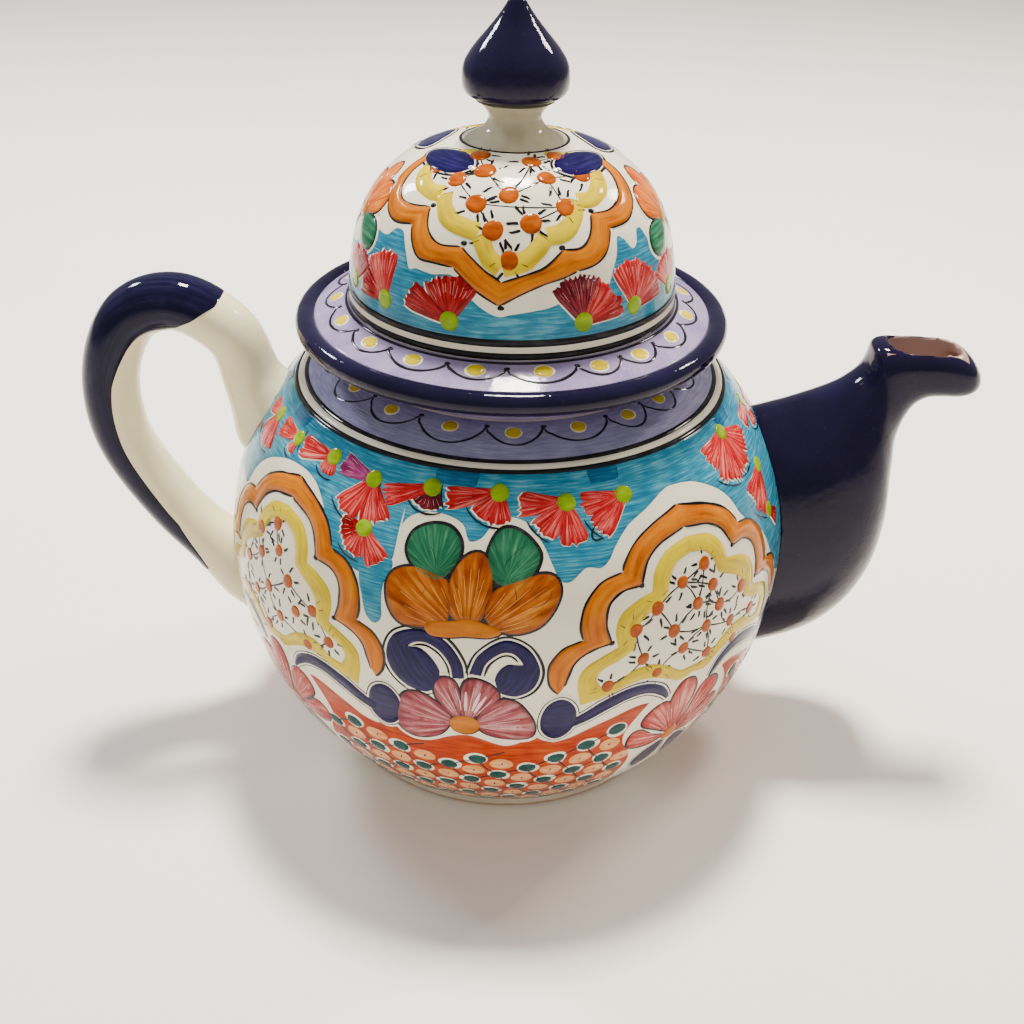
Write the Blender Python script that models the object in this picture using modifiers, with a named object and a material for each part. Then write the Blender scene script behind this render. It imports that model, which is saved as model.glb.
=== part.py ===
"""Glazed earthenware teapot with a beaked spout, a looped handle and a domed lid.

Metres, +Z up. The pot stands on the plane z = 0. The spout points along +X and the handle along -X,
and the origin is midway between the spout's tip and the handle's outermost point, on the table.
"""
import math

import bmesh
import bpy
from mathutils import Matrix, Vector

MM = 0.001

# ---- driving dimensions ------------------------------------------------------------------------
GAP = 0.3 * MM                  # gap kept between pieces that touch
STEPS = 48                      # facets round a turned piece

WALL = 5.0 * MM                 # thickness of the thrown pot wall
BELLY_RADIUS = 85.0 * MM        # widest radius of the pot
BELLY_HEIGHT = 71.5 * MM        # height of the widest ring above the table
BELLY_DROP = 90.0 * MM          # half height of the lower half's ellipse
BELLY_RISE = 77.0 * MM          # half height of the upper half's ellipse
SHOULDER_RADIUS = 62.8 * MM     # where the belly turns in to the shoulder
SHOULDER_SLOPE = math.radians(20.0)
SHOULDER_ROUND = 2.3 * MM       # radius of the turn between belly and shoulder

MIDDLE_LOW = 46.0 * MM          # heights where the wall is divided into rings
MIDDLE_HIGH = 86.0 * MM
UPPER_HIGH = 112.0 * MM
FLOOR_FILLET = 4.0 * MM         # height of the bevel between the floor and the wall inside
FOOT_RADIUS = 55.4 * MM         # outer radius of the foot ring on the table
FOOT_WIDTH = 7.0 * MM
FOOT_HEIGHT = 5.0 * MM
FOOT_FLARE = 0.6 * MM           # how much wider the foot is at its top
FOOT_EDGE = 0.7 * MM            # bevel on the foot's edges

NECK_RADIUS = 46.0 * MM         # outside of the neck collar
NECK_WALL = 4.2 * MM
NECK_HEIGHT = 12.0 * MM         # above the inner edge of the shoulder
NECK_ROUND = 1.2 * MM

LID_CLEARANCE = 0.9 * MM        # round the locating collar, in the mouth
LID_COLLAR_WALL = 3.6 * MM
LID_COLLAR_DEPTH = 9.0 * MM
FLANGE_RADIUS = 58.6 * MM       # where the flange meets the middle of its rolled bead
FLANGE_THICKNESS = 4.8 * MM
FLANGE_SLOPE = math.radians(22.5)
BEAD_RADIUS = 3.1 * MM
DOME_RADIUS = 46.3 * MM
DOME_HEIGHT = 44.3 * MM
DOME_WALL = 4.5 * MM
DOME_POWER = 2.8                # 2 is an ellipse, more is squarer
DOME_TAPER = 0.055

STEM_FOOT_RADIUS = 14.6 * MM
STEM_WAIST_RADIUS = 7.2 * MM
STEM_HEIGHT = 9.4 * MM
BULB_RADIUS = 14.2 * MM
BULB_HEIGHT = 25.5 * MM
BULB_TIP_RADIUS = 2.0 * MM
BULB_SEAT_RADIUS = 9.5 * MM

HANDLE_REACH = 42.0 * MM        # from the belly's widest ring to the outside of the loop
HANDLE_THICKNESS = 16.4 * MM
HANDLE_WIDTH = 18.4 * MM
HANDLE_TOP = 141.8 * MM         # height of the loop's centre line at its top
HANDLE_UPPER_ROOT = 111.0 * MM  # height where the loop joins the shoulder
HANDLE_LOWER_ROOT = 50.0 * MM   # height where the loop joins the belly
ROOT_LENGTH = 9.0 * MM          # how far the clay wads stand out from the pot
ROOT_SPREAD = 1.35              # how much wider a wad is at the pot than at the loop

SPOUT_REACH = 53.5 * MM         # from the belly's widest ring to the tip of the beak
SPOUT_TOP = 134.0 * MM          # height of the mouth's rim
SPOUT_WALL = 3.4 * MM
SPOUT_FRONT = 32.5 * MM         # from the belly's widest ring to the spout's upright front
SPOUT_BACK = 20.8 * MM          # from the belly's widest ring to the back of the beak
SPOUT_ROOT_LOW = 24.0 * MM      # lowest and highest of the spout's base
SPOUT_ROOT_HIGH = 110.0 * MM
SPOUT_ROOT_WIDTH = 21.0 * MM    # half width of the spout's base
BEAK_DEPTH = 15.8 * MM          # height of the beak, rim to underside
BEAK_WIDTH = 9.5 * MM           # half width of the beak
MOUTH_LENGTH = 21.5 * MM

STRAINER_HOLE_RADIUS = 2.3 * MM
STRAINER_RING_RADIUS = 9.5 * MM
STRAINER_RING_HOLES = 6
STRAINER_HEIGHT = 66.0 * MM

# ---- places worked out from them ---------------------------------------------------------------
POT_X = (HANDLE_REACH - SPOUT_REACH) / 2.0


def belly_radius(z, inset=0.0):
    """Radius of the belly's ellipse at a height, both moved in by inset."""
    rise = BELLY_RISE if z > BELLY_HEIGHT else BELLY_DROP
    share = (z - BELLY_HEIGHT) / (rise - inset)
    return (BELLY_RADIUS - inset) * math.sqrt(max(0.0, 1.0 - share * share))


def belly_height(radius, inset=0.0):
    """Height on the upper half of the belly where it has a radius."""
    share = radius / (BELLY_RADIUS - inset)
    return BELLY_HEIGHT + (BELLY_RISE - inset) * math.sqrt(max(0.0, 1.0 - share * share))


FLOOR_Z = FOOT_HEIGHT + GAP      # underside of the thrown wall
SHOULDER_EDGE_Z = belly_height(SHOULDER_RADIUS)
SHOULDER_TURN_Z = SHOULDER_EDGE_Z - 0.6 * SHOULDER_ROUND
SHOULDER_RIM_R = SHOULDER_RADIUS - SHOULDER_ROUND
SHOULDER_RIM_Z = SHOULDER_EDGE_Z + SHOULDER_ROUND * math.tan(SHOULDER_SLOPE)
NECK_FOOT_Z = SHOULDER_EDGE_Z + (SHOULDER_RADIUS - NECK_RADIUS) * math.tan(SHOULDER_SLOPE)
NECK_TOP_Z = NECK_FOOT_Z + NECK_HEIGHT
MOUTH_RADIUS = NECK_RADIUS - NECK_WALL
COLLAR_RADIUS = MOUTH_RADIUS - LID_CLEARANCE
FLANGE_BORE = COLLAR_RADIUS - LID_COLLAR_WALL
FLANGE_SEAT_Z = NECK_TOP_Z + GAP
DOME_BASE_Z = FLANGE_SEAT_Z + FLANGE_THICKNESS + GAP


# ---- helpers -----------------------------------------------------------------------------------
def clear_scene():
    """Remove every object, mesh collection and material left in the file."""
    for obj in list(bpy.data.objects):
        bpy.data.objects.remove(obj, do_unlink=True)
    for collection in list(bpy.data.collections):
        bpy.data.collections.remove(collection)
    for material in list(bpy.data.materials):
        bpy.data.materials.remove(material)


def new_collection(name):
    """Add a collection to the scene."""
    collection = bpy.data.collections.new(name)
    bpy.context.scene.collection.children.link(collection)
    return collection


def glaze(name, colour, roughness=0.18):
    """A glossy fired glaze."""
    material = bpy.data.materials.new(name)
    material.use_nodes = True
    shader = material.node_tree.nodes["Principled BSDF"]
    shader.inputs["Base Color"].default_value = (*colour, 1.0)
    shader.inputs["Roughness"].default_value = roughness
    shader.inputs["Metallic"].default_value = 0.0
    material.diffuse_color = (*colour, 1.0)
    return material


def add_object(name, data, material, collection, parent=None):
    """Link an object made from a mesh or a curve, with its glaze."""
    obj = bpy.data.objects.new(name, data)
    data.materials.append(material)
    collection.objects.link(obj)
    obj.parent = parent
    return obj


def arc(centre, radius, start, end, count):
    """Points (r, z) on an arc, angles in degrees from +r towards +z."""
    points = []
    for i in range(count + 1):
        angle = math.radians(start + (end - start) * i / count)
        points.append((centre[0] + radius * math.cos(angle), centre[1] + radius * math.sin(angle)))
    return points


def turned(name, outline, material, collection, parent, steps=STEPS):
    """Turn a closed outline of (r, z), running down its outer side, about the pot's axis."""
    mesh = bpy.data.meshes.new(name)
    shape = bmesh.new()
    corners = [shape.verts.new((r, 0.0, z)) for r, z in outline]
    on_axis = outline[0][0] < 1e-9 and outline[-1][0] < 1e-9
    for a, b in zip(corners, corners[1:]):
        shape.edges.new((a, b))
    if not on_axis:
        shape.edges.new((corners[-1], corners[0]))
    shape.to_mesh(mesh)
    shape.free()
    obj = add_object(name, mesh, material, collection, parent)
    screw = obj.modifiers.new("turn", "SCREW")
    screw.steps = screw.render_steps = steps
    screw.use_merge_vertices = True
    screw.merge_threshold = 0.00001
    screw.use_smooth_shade = True
    return obj


def lofted(name, rings, material, collection, parent=None):
    """Skin a row of rings with equal counts of points, and close both ends with fans."""
    mesh = bpy.data.meshes.new(name)
    shape = bmesh.new()
    rows = [[shape.verts.new(point) for point in ring] for ring in rings]
    count = len(rows[0])
    for low, high in zip(rows, rows[1:]):
        for i in range(count):
            j = (i + 1) % count
            shape.faces.new((low[i], low[j], high[j], high[i]))
    for row, reverse in ((rows[0], True), (rows[-1], False)):
        middle = shape.verts.new(sum((v.co for v in row), Vector()) / count)
        for i in range(count):
            j = (i + 1) % count
            corners = (row[i], row[j], middle)
            shape.faces.new(tuple(reversed(corners)) if reverse else corners)
    bmesh.ops.recalc_face_normals(shape, faces=shape.faces)
    for face in shape.faces:
        face.smooth = True
    shape.to_mesh(mesh)
    shape.free()
    return add_object(name, mesh, material, collection, parent)


def section(centre, along, half_up, half_side, count, power=2.0):
    """A rounded ring across a path in the XZ plane; power 2 is an ellipse, more is squarer."""
    along = Vector(along).normalized()
    side = Vector((0.0, 1.0, 0.0))
    up = along.cross(side)
    ring = []
    for i in range(count):
        angle = 2.0 * math.pi * i / count
        c, s = math.cos(angle), math.sin(angle)
        u = math.copysign(abs(c) ** (2.0 / power), c) * half_up
        v = math.copysign(abs(s) ** (2.0 / power), s) * half_side
        ring.append(Vector(centre) + up * u + side * v)
    return ring


def catmull(points, per_span):
    """Values along a smooth curve through rows of numbers, per_span steps to a span."""
    padded = [points[0], *points, points[-1]]
    rows = []
    for k in range(len(points) - 1):
        p0, p1, p2, p3 = padded[k:k + 4]
        for i in range(per_span):
            t = i / per_span
            rows.append(tuple(
                0.5 * (2 * b + (c - a) * t + (2 * a - 5 * b + 4 * c - d) * t * t
                       + (3 * b - 3 * c + d - a) * t ** 3)
                for a, b, c, d in zip(p0, p1, p2, p3)))
    rows.append(tuple(points[-1]))
    return rows


def cut(obj, cutter, operation="DIFFERENCE"):
    """Take a cutter away from an object."""
    boolean = obj.modifiers.new("cut_" + cutter.name, "BOOLEAN")
    boolean.operation = operation
    boolean.solver = "EXACT"
    boolean.object = cutter
    cutter.hide_render = True
    cutter.display_type = "WIRE"


# ---- the pot -----------------------------------------------------------------------------------
def belly_outline(inset, low_z, high_z, count):
    """Points down the belly's outside, or its inside with an inset, from high to low."""
    points = []
    for i in range(count + 1):
        z = high_z + (low_z - high_z) * i / count
        points.append((belly_radius(z, inset), z))
    return points


def wall_ring(low_z, high_z, rows):
    """Closed outline of a ring of the belly's wall between two heights."""
    inside = belly_outline(WALL, low_z, high_z, rows)
    return belly_outline(0.0, low_z, high_z, rows) + inside[::-1]


def base_outline(high_z):
    """Outline of the lowest ring: the flat under the wall, and a bevel inside round the floor."""
    top, inner = FLOOR_Z + WALL, FOOT_RADIUS - FOOT_WIDTH
    inside = belly_outline(WALL, top + FLOOR_FILLET, high_z, 5)
    outline = [*belly_outline(0.0, FLOOR_Z, high_z, 7), (inner, FLOOR_Z), (inner, top)]
    outline.append((inside[-1][0] - 1.5 * FLOOR_FILLET, top))
    return outline + inside[::-1]


def shoulder_outline(low_z):
    """Outline of the highest ring: the top of the belly, the turn, and the slope to the mouth."""
    inner_top = NECK_FOOT_Z - WALL
    inner_edge = SHOULDER_RADIUS - WALL
    inner_edge_z = inner_top - (inner_edge - MOUTH_RADIUS) * math.tan(SHOULDER_SLOPE)
    outline = [(NECK_RADIUS, NECK_FOOT_Z), (SHOULDER_RIM_R, SHOULDER_RIM_Z)]
    outline += belly_outline(0.0, low_z, SHOULDER_TURN_Z, 3)
    outline += belly_outline(WALL, low_z, inner_edge_z, 2)[::-1]
    return outline + [(MOUTH_RADIUS, inner_top), (MOUTH_RADIUS, NECK_FOOT_Z)]


def strainer_points():
    """Centres (y, z) of the strainer holes: one in a ring of others."""
    middle = STRAINER_HEIGHT
    points = [(0.0, middle)]
    for i in range(STRAINER_RING_HOLES):
        angle = 2.0 * math.pi * (i + 0.5) / STRAINER_RING_HOLES
        points.append((STRAINER_RING_RADIUS * math.cos(angle),
                       middle + STRAINER_RING_RADIUS * math.sin(angle)))
    return points


def build_pot(parts, cutters, pot, glazes):
    """The thrown wall in four rings and a floor, its strainer holes, the foot and the neck."""
    inner = FOOT_RADIUS - FOOT_WIDTH - GAP
    floor = [(0.0, FLOOR_Z + WALL), (inner, FLOOR_Z + WALL), (inner, FLOOR_Z), (0.0, FLOOR_Z)]
    turned("pot_floor", floor, glazes["pot"], parts, pot)
    turned("belly_lower", base_outline(MIDDLE_LOW), glazes["pot"], parts, pot)
    middle = turned("belly_middle", wall_ring(MIDDLE_LOW + GAP, MIDDLE_HIGH, 6), glazes["pot"],
                    parts, pot)
    turned("belly_upper", wall_ring(MIDDLE_HIGH + GAP, UPPER_HIGH, 5), glazes["pot"], parts, pot)
    turned("pot_shoulder", shoulder_outline(UPPER_HIGH + GAP), glazes["pot"], parts, pot)
    for number, (y, z) in enumerate(strainer_points()):
        drill_mesh = bpy.data.meshes.new("strainer_drill_%d" % number)
        shape = bmesh.new()
        bmesh.ops.create_cone(shape, cap_ends=True, segments=12, radius1=STRAINER_HOLE_RADIUS,
                              radius2=STRAINER_HOLE_RADIUS, depth=4.0 * WALL)
        bmesh.ops.transform(shape, matrix=Matrix.Rotation(math.pi / 2.0, 4, "Y"), verts=shape.verts)
        shape.to_mesh(drill_mesh)
        shape.free()
        drill = add_object(drill_mesh.name, drill_mesh, glazes["pot"], cutters, pot)
        drill.location = (belly_radius(z) - WALL / 2.0, y, z)
        cut(middle, drill)

    top, inner = FOOT_HEIGHT, FOOT_RADIUS - FOOT_WIDTH
    foot = [(inner, top), (FOOT_RADIUS + FOOT_FLARE - FOOT_EDGE, top)]
    foot += [(FOOT_RADIUS + FOOT_FLARE, top - FOOT_EDGE), (FOOT_RADIUS, FOOT_EDGE)]
    foot += [(FOOT_RADIUS - FOOT_EDGE, 0.0), (inner + FOOT_EDGE, 0.0), (inner, FOOT_EDGE)]
    turned("foot_ring", foot, glazes["foot"], parts, pot)

    low = NECK_FOOT_Z + GAP
    neck = arc((NECK_RADIUS - NECK_ROUND, NECK_TOP_Z - NECK_ROUND), NECK_ROUND, 90.0, 0.0, 3)
    neck += [(NECK_RADIUS, low), (MOUTH_RADIUS, low)]
    neck += arc((MOUTH_RADIUS + NECK_ROUND, NECK_TOP_Z - NECK_ROUND), NECK_ROUND, 180.0, 90.0, 3)
    turned("neck_collar", neck, glazes["neck"], parts, pot)


def build_trim(cutters, pot, glazes):
    """A solid of the pot's outside with its neck, a gap larger, that trims what joins the pot."""
    points = [(0.0, NECK_TOP_Z + GAP), (NECK_RADIUS + GAP, NECK_TOP_Z + GAP)]
    points += [(NECK_RADIUS + GAP, NECK_FOOT_Z + GAP), (SHOULDER_RIM_R + GAP, SHOULDER_RIM_Z + GAP)]
    points += belly_outline(-GAP, FOOT_HEIGHT, SHOULDER_TURN_Z, 18)
    points.append((0.0, FOOT_HEIGHT))
    return turned("pot_trim_cutter", points, glazes["pot"], cutters, pot)


# ---- the handle --------------------------------------------------------------------------------
def handle_path():
    """Centre line (x, z) of the loop from inside the shoulder round to inside the belly."""
    out = -(BELLY_RADIUS + HANDLE_REACH - HANDLE_THICKNESS / 2.0)
    upper = (-belly_radius(HANDLE_UPPER_ROOT), HANDLE_UPPER_ROOT)
    lower = (-belly_radius(HANDLE_LOWER_ROOT), HANDLE_LOWER_ROOT)
    drop = HANDLE_TOP - lower[1]
    knots = [
        (upper[0] + 7.0 * MM, upper[1] - 9.0 * MM),
        (upper[0] - 2.2 * MM, upper[1] + 5.5 * MM),
        (upper[0] - 8.5 * MM, upper[1] + 0.70 * (HANDLE_TOP - upper[1])),
        (0.5 * (upper[0] + out), HANDLE_TOP),
        (out + 8.6 * MM, HANDLE_TOP - 0.05 * drop),
        (out + 0.4 * MM, HANDLE_TOP - 0.24 * drop),
        (out + 1.2 * MM, HANDLE_TOP - 0.47 * drop),
        (out + 12.4 * MM, HANDLE_TOP - 0.71 * drop),
        (lower[0] - 10.2 * MM, lower[1] + 10.2 * MM),
        (lower[0] + 6.0 * MM, lower[1] - 6.0 * MM),
    ]
    return [(x, z) for x, z in catmull(knots, 5)]


def path_frames(path):
    """Points of a path with the direction that it runs in at each."""
    frames = []
    for i, (x, z) in enumerate(path):
        before = path[max(i - 1, 0)]
        after = path[min(i + 1, len(path) - 1)]
        frames.append((Vector((x, 0.0, z)), Vector((after[0] - before[0], 0.0, after[1] - before[1]))))
    return frames


def distance_to_belly(point):
    """Rough distance of a point of the XZ plane from the pot's outside."""
    return abs(point.x) - belly_radius(point.z)


def build_handle(parts, pot, trim, glazes):
    """The loop, and the two wads of clay between it and the wall."""
    frames = path_frames(handle_path())
    half, side = HANDLE_THICKNESS / 2.0, HANDLE_WIDTH / 2.0
    outside = [i for i, (point, _) in enumerate(frames) if distance_to_belly(point) > ROOT_LENGTH]
    first, last = outside[0], outside[-1]
    rings = [section(p, d, half, side, 18) for p, d in frames[first:last + 1]]
    lofted("handle", rings, glazes["handle"], parts, pot)
    for name, ends in (("handle_upper_root", frames[first::-1]), ("handle_lower_root", frames[last:])):
        start, direction = ends[0]
        away = (ends[1][0] - start).normalized()
        reach = sum((b[0] - a[0]).length for a, b in zip(ends, ends[1:]))
        rings = []
        travelled = GAP
        for i, (point, heading) in enumerate(ends):
            if i:
                travelled += (point - ends[i - 1][0]).length
            grow = 1.0 + (ROOT_SPREAD - 1.0) * min(1.0, travelled / reach) ** 1.5
            place = point + away * GAP if i == 0 else point
            rings.append(section(place, heading, half * grow, side * grow, 18))
        root = lofted(name, rings, glazes["handle"], parts, pot)
        cut(root, trim)


# ---- the spout ---------------------------------------------------------------------------------
def spout_rows():
    """Rows (back x, back z, front x, front z, half width, power) from the base to the beak's tip.

    Each row is a cut across the spout, given by its two ends in the XZ plane.
    """
    under = SPOUT_TOP - BEAK_DEPTH
    root = SPOUT_ROOT_WIDTH
    beak = BEAK_WIDTH
    inside = belly_radius(STRAINER_HEIGHT) - WALL - 18.0 * MM
    low, high = SPOUT_ROOT_LOW, SPOUT_ROOT_HIGH
    front, back, tip = (BELLY_RADIUS + reach for reach in (SPOUT_FRONT, SPOUT_BACK, SPOUT_REACH))
    top = SPOUT_TOP
    return [
        (inside, high - 2.0 * MM, inside, low - 3.0 * MM, 0.95 * root, 2.0),
        (back - 25.8 * MM, high + 3.0 * MM, front - 24.5 * MM, low + 6.5 * MM, root, 2.0),
        (back - 14.8 * MM, high + 7.0 * MM, front - 10.5 * MM, low + 17.0 * MM, 0.97 * root, 2.0),
        (back - 7.8 * MM, high + 10.5 * MM, front - 2.5 * MM, low + 32.0 * MM, 0.88 * root, 2.0),
        (back - 3.3 * MM, top - 10.0 * MM, front, low + 49.0 * MM, 0.74 * root, 2.1),
        (back - 1.3 * MM, top - 7.0 * MM, front - 0.7 * MM, under - 27.0 * MM, 0.60 * root, 2.2),
        (back - 0.5 * MM, top - 4.0 * MM, front - 1.1 * MM, under - 14.0 * MM, 1.11 * beak, 2.3),
        (back, top - 1.4 * MM, front + 1.5 * MM, under - 4.6 * MM, 1.03 * beak, 2.5),
        (back + 2.7 * MM, top, front + 5.5 * MM, under - 0.6 * MM, beak, 2.7),
        (back + 11.2 * MM, top, front + 10.0 * MM, under + 0.1 * MM, beak, 2.8),
        (tip - 11.5 * MM, top - 0.4 * MM, tip - 7.0 * MM, under, 0.98 * beak, 2.8),
        (tip - 5.0 * MM, top - 3.0 * MM, tip - 3.5 * MM, under + 0.4 * MM, 0.86 * beak, 2.6),
        (tip - 1.3 * MM, top - 7.2 * MM, tip - 0.9 * MM, under + 1.6 * MM, 0.58 * beak, 2.3),
        (tip, top - 9.6 * MM, tip, under + 4.0 * MM, 0.22 * beak, 2.0),
    ]


def spout_rings(inset=0.0):
    """Rings along the spout; with an inset, those of its bore, which stops short of the tip."""
    rows = catmull(spout_rows(), 2)
    if inset:
        rows = rows[:-4]
    rings = []
    for back_x, back_z, front_x, front_z, side, power in rows:
        back, front = Vector((back_x, 0.0, back_z)), Vector((front_x, 0.0, front_z))
        across = back - front
        along = Vector((across.z, 0.0, -across.x))
        rings.append(section((back + front) / 2.0, along, across.length / 2.0 - inset,
                             side - inset, 24, power))
    return rings


def build_spout(parts, cutters, pot, trim, glazes):
    """The hollow spout, trimmed to the wall, with its mouth cut in the top of the beak."""
    spout = lofted("spout", spout_rings(), glazes["spout"], parts, pot)
    bore = lofted("spout_bore", spout_rings(SPOUT_WALL), glazes["spout"], cutters, pot)
    cut(spout, bore)
    cut(spout, trim)
    mouth_middle = BELLY_RADIUS + (SPOUT_BACK + SPOUT_WALL + SPOUT_REACH - 6.0 * MM) / 2.0
    rings = [section((mouth_middle, 0.0, height), (0.0, 0.0, 1.0), MOUTH_LENGTH / 2.0,
                     BEAK_WIDTH - SPOUT_WALL + 0.4 * MM, 24, 2.8)
             for height in (SPOUT_TOP - 0.5 * BEAK_DEPTH, SPOUT_TOP + 8.0 * MM)]
    mouth = lofted("spout_mouth_cutter", rings, glazes["spout"], cutters, pot)
    cut(spout, mouth)


# ---- the lid -----------------------------------------------------------------------------------
def flange_top(radius):
    """Height of the flange's sloping top at a radius."""
    return FLANGE_SEAT_Z + FLANGE_THICKNESS - max(0.0, radius - DOME_RADIUS) * math.tan(FLANGE_SLOPE)


def flange_outline():
    """The flange: flat where the dome stands and where it rests, sloping outside that."""
    seat_edge = NECK_RADIUS + 0.5 * MM
    edge = FLANGE_RADIUS - BEAD_RADIUS - GAP
    under_edge = flange_top(edge) - min(FLANGE_THICKNESS, 1.5 * BEAD_RADIUS)
    return [
        (FLANGE_BORE, FLANGE_SEAT_Z + FLANGE_THICKNESS),
        (DOME_RADIUS, FLANGE_SEAT_Z + FLANGE_THICKNESS),
        (edge, flange_top(edge)),
        (edge, under_edge),
        (seat_edge, FLANGE_SEAT_Z),
        (FLANGE_BORE, FLANGE_SEAT_Z),
    ]


def dome_top(radius, grown):
    """Height of the dome's crown at a radius near its axis, a distance above its surface."""
    share = (radius / (DOME_RADIUS * (1.0 - DOME_TAPER))) ** DOME_POWER
    return DOME_BASE_Z + DOME_HEIGHT * (1.0 - share) ** (1.0 / DOME_POWER) + grown


def dome_point(angle, inset):
    """A point (r, z) on the dome's squared-off ellipse, from its base (0) to its top (90)."""
    c, s = math.cos(math.radians(angle)), math.sin(math.radians(angle))
    lift = max(0.0, s) ** (2.0 / DOME_POWER)
    radius = (DOME_RADIUS - inset) * max(0.0, c) ** (2.0 / DOME_POWER) * (1.0 - DOME_TAPER * lift)
    return radius, DOME_BASE_Z + (DOME_HEIGHT - inset) * lift


def build_lid(parts, lid, glazes):
    """Flange, bead, dome, locating collar, stem and bulb, all about the lid's axis."""
    turned("lid_flange", flange_outline(), glazes["flange"], parts, lid)

    bead_z = flange_top(FLANGE_RADIUS - BEAD_RADIUS) - BEAD_RADIUS * 0.75
    bead = arc((FLANGE_RADIUS, bead_z), BEAD_RADIUS, 180.0, -180.0, 12)[:-1]
    turned("lid_rim_bead", bead, glazes["bead"], parts, lid)

    angles = [0, 10, 22, 34, 46, 58, 70, 82]
    outer = [dome_point(a, 0.0) for a in angles]
    inner = [dome_point(a, DOME_WALL) for a in angles]
    top_z = DOME_BASE_Z + DOME_HEIGHT
    dome = [(0.0, top_z), *reversed(outer), *inner, (0.0, top_z - DOME_WALL)]
    turned("lid_dome", dome, glazes["dome"], parts, lid)

    low = FLANGE_SEAT_Z - GAP - LID_COLLAR_DEPTH
    collar = [(FLANGE_BORE, FLANGE_SEAT_Z - GAP), (COLLAR_RADIUS, FLANGE_SEAT_Z - GAP)]
    collar += [(COLLAR_RADIUS, low + 1.0 * MM), (COLLAR_RADIUS - 1.0 * MM, low), (FLANGE_BORE, low)]
    turned("lid_locating_collar", collar, glazes["collar"], parts, lid)

    stem_low = dome_top(STEM_FOOT_RADIUS, GAP)
    stem_top = top_z + STEM_HEIGHT
    stem = [(0.0, stem_top)]
    waist_share = 0.52
    for i in range(10):
        share = 1.0 - i / 9.0
        if share > waist_share:
            wide, bend = BULB_SEAT_RADIUS, (share - waist_share) / (1.0 - waist_share)
        else:
            wide, bend = STEM_FOOT_RADIUS, (waist_share - share) / waist_share
        stem.append((STEM_WAIST_RADIUS + (wide - STEM_WAIST_RADIUS) * bend ** 2.2,
                     stem_low + share * (stem_top - stem_low)))
    for share in (0.66, 0.33, 0.0):
        stem.append((share * STEM_FOOT_RADIUS, dome_top(share * STEM_FOOT_RADIUS, GAP)))
    turned("finial_stem", stem, glazes["stem"], parts, lid, 32)

    bulb_low = stem_top + GAP
    bulb = [(0.0, bulb_low + BULB_HEIGHT)]
    for share, radius in catmull(
            [(1.0, BULB_TIP_RADIUS), (0.82, 0.30 * BULB_RADIUS), (0.64, 0.60 * BULB_RADIUS),
             (0.46, 0.88 * BULB_RADIUS), (0.27, BULB_RADIUS), (0.10, 0.93 * BULB_RADIUS),
             (0.0, BULB_SEAT_RADIUS)], 2):
        bulb.append((radius, bulb_low + share * BULB_HEIGHT))
    bulb.append((0.0, bulb_low))
    turned("finial_bulb", bulb, glazes["bulb"], parts, lid, 32)


def main():
    """Build the teapot."""
    clear_scene()
    parts = new_collection("teapot")
    cutters = new_collection("cutters")
    pot = bpy.data.objects.new("pot_axis", None)
    lid = bpy.data.objects.new("lid_axis", None)
    parts.objects.link(pot)
    parts.objects.link(lid)
    pot.location = (POT_X, 0.0, 0.0)
    lid.parent = pot
    glazes = {
        "pot": glaze("painted_white_glaze", (0.86, 0.85, 0.80)),
        "foot": glaze("foot_white_glaze", (0.83, 0.81, 0.74)),
        "neck": glaze("neck_glaze", (0.42, 0.40, 0.66)),
        "spout": glaze("spout_cobalt_glaze", (0.02, 0.02, 0.05), 0.10),
        "handle": glaze("handle_cream_glaze", (0.80, 0.76, 0.62)),
        "flange": glaze("flange_lilac_glaze", (0.50, 0.46, 0.68)),
        "bead": glaze("bead_cobalt_glaze", (0.03, 0.03, 0.08), 0.12),
        "dome": glaze("dome_painted_glaze", (0.86, 0.85, 0.80)),
        "collar": glaze("collar_white_glaze", (0.84, 0.82, 0.76)),
        "stem": glaze("stem_white_glaze", (0.84, 0.82, 0.74)),
        "bulb": glaze("bulb_cobalt_glaze", (0.02, 0.02, 0.06), 0.10),
    }
    build_pot(parts, cutters, pot, glazes)
    trim = build_trim(cutters, pot, glazes)
    build_handle(parts, pot, trim, glazes)
    build_spout(parts, cutters, pot, trim, glazes)
    build_lid(parts, lid, glazes)
    bpy.context.view_layer.update()


main()
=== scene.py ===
"""Looks of a hand-painted earthenware teapot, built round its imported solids.

The thrown ware is turned and lofted as smooth surfaces. The decoration is laid on it the way a
painter lays it: each stroke, petal, dot and line is a thin closed coat of pigment that follows
the ware. A place on a turned ware is given by its angle from the front, in degrees, and by the
distance up its outline, in millimetres.
"""

import logging
import math
from dataclasses import dataclass, field, replace
from enum import Enum

import bpy
import numpy as np
from mathutils import Matrix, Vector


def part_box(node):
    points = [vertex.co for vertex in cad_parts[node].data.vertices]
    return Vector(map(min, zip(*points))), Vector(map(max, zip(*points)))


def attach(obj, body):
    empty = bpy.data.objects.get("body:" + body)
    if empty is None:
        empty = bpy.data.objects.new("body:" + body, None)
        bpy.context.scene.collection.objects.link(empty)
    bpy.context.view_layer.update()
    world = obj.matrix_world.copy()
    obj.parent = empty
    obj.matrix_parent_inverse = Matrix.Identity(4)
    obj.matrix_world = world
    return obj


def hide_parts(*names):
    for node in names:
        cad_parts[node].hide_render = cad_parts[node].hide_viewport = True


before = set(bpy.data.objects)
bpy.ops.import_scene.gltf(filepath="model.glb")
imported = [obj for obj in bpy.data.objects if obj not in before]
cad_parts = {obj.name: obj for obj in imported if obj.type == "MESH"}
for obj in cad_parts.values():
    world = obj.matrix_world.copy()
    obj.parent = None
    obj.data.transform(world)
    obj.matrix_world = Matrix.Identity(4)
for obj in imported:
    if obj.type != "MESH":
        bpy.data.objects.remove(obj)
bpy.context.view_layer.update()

LOG = logging.getLogger("teapot")
MM = 0.001
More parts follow.
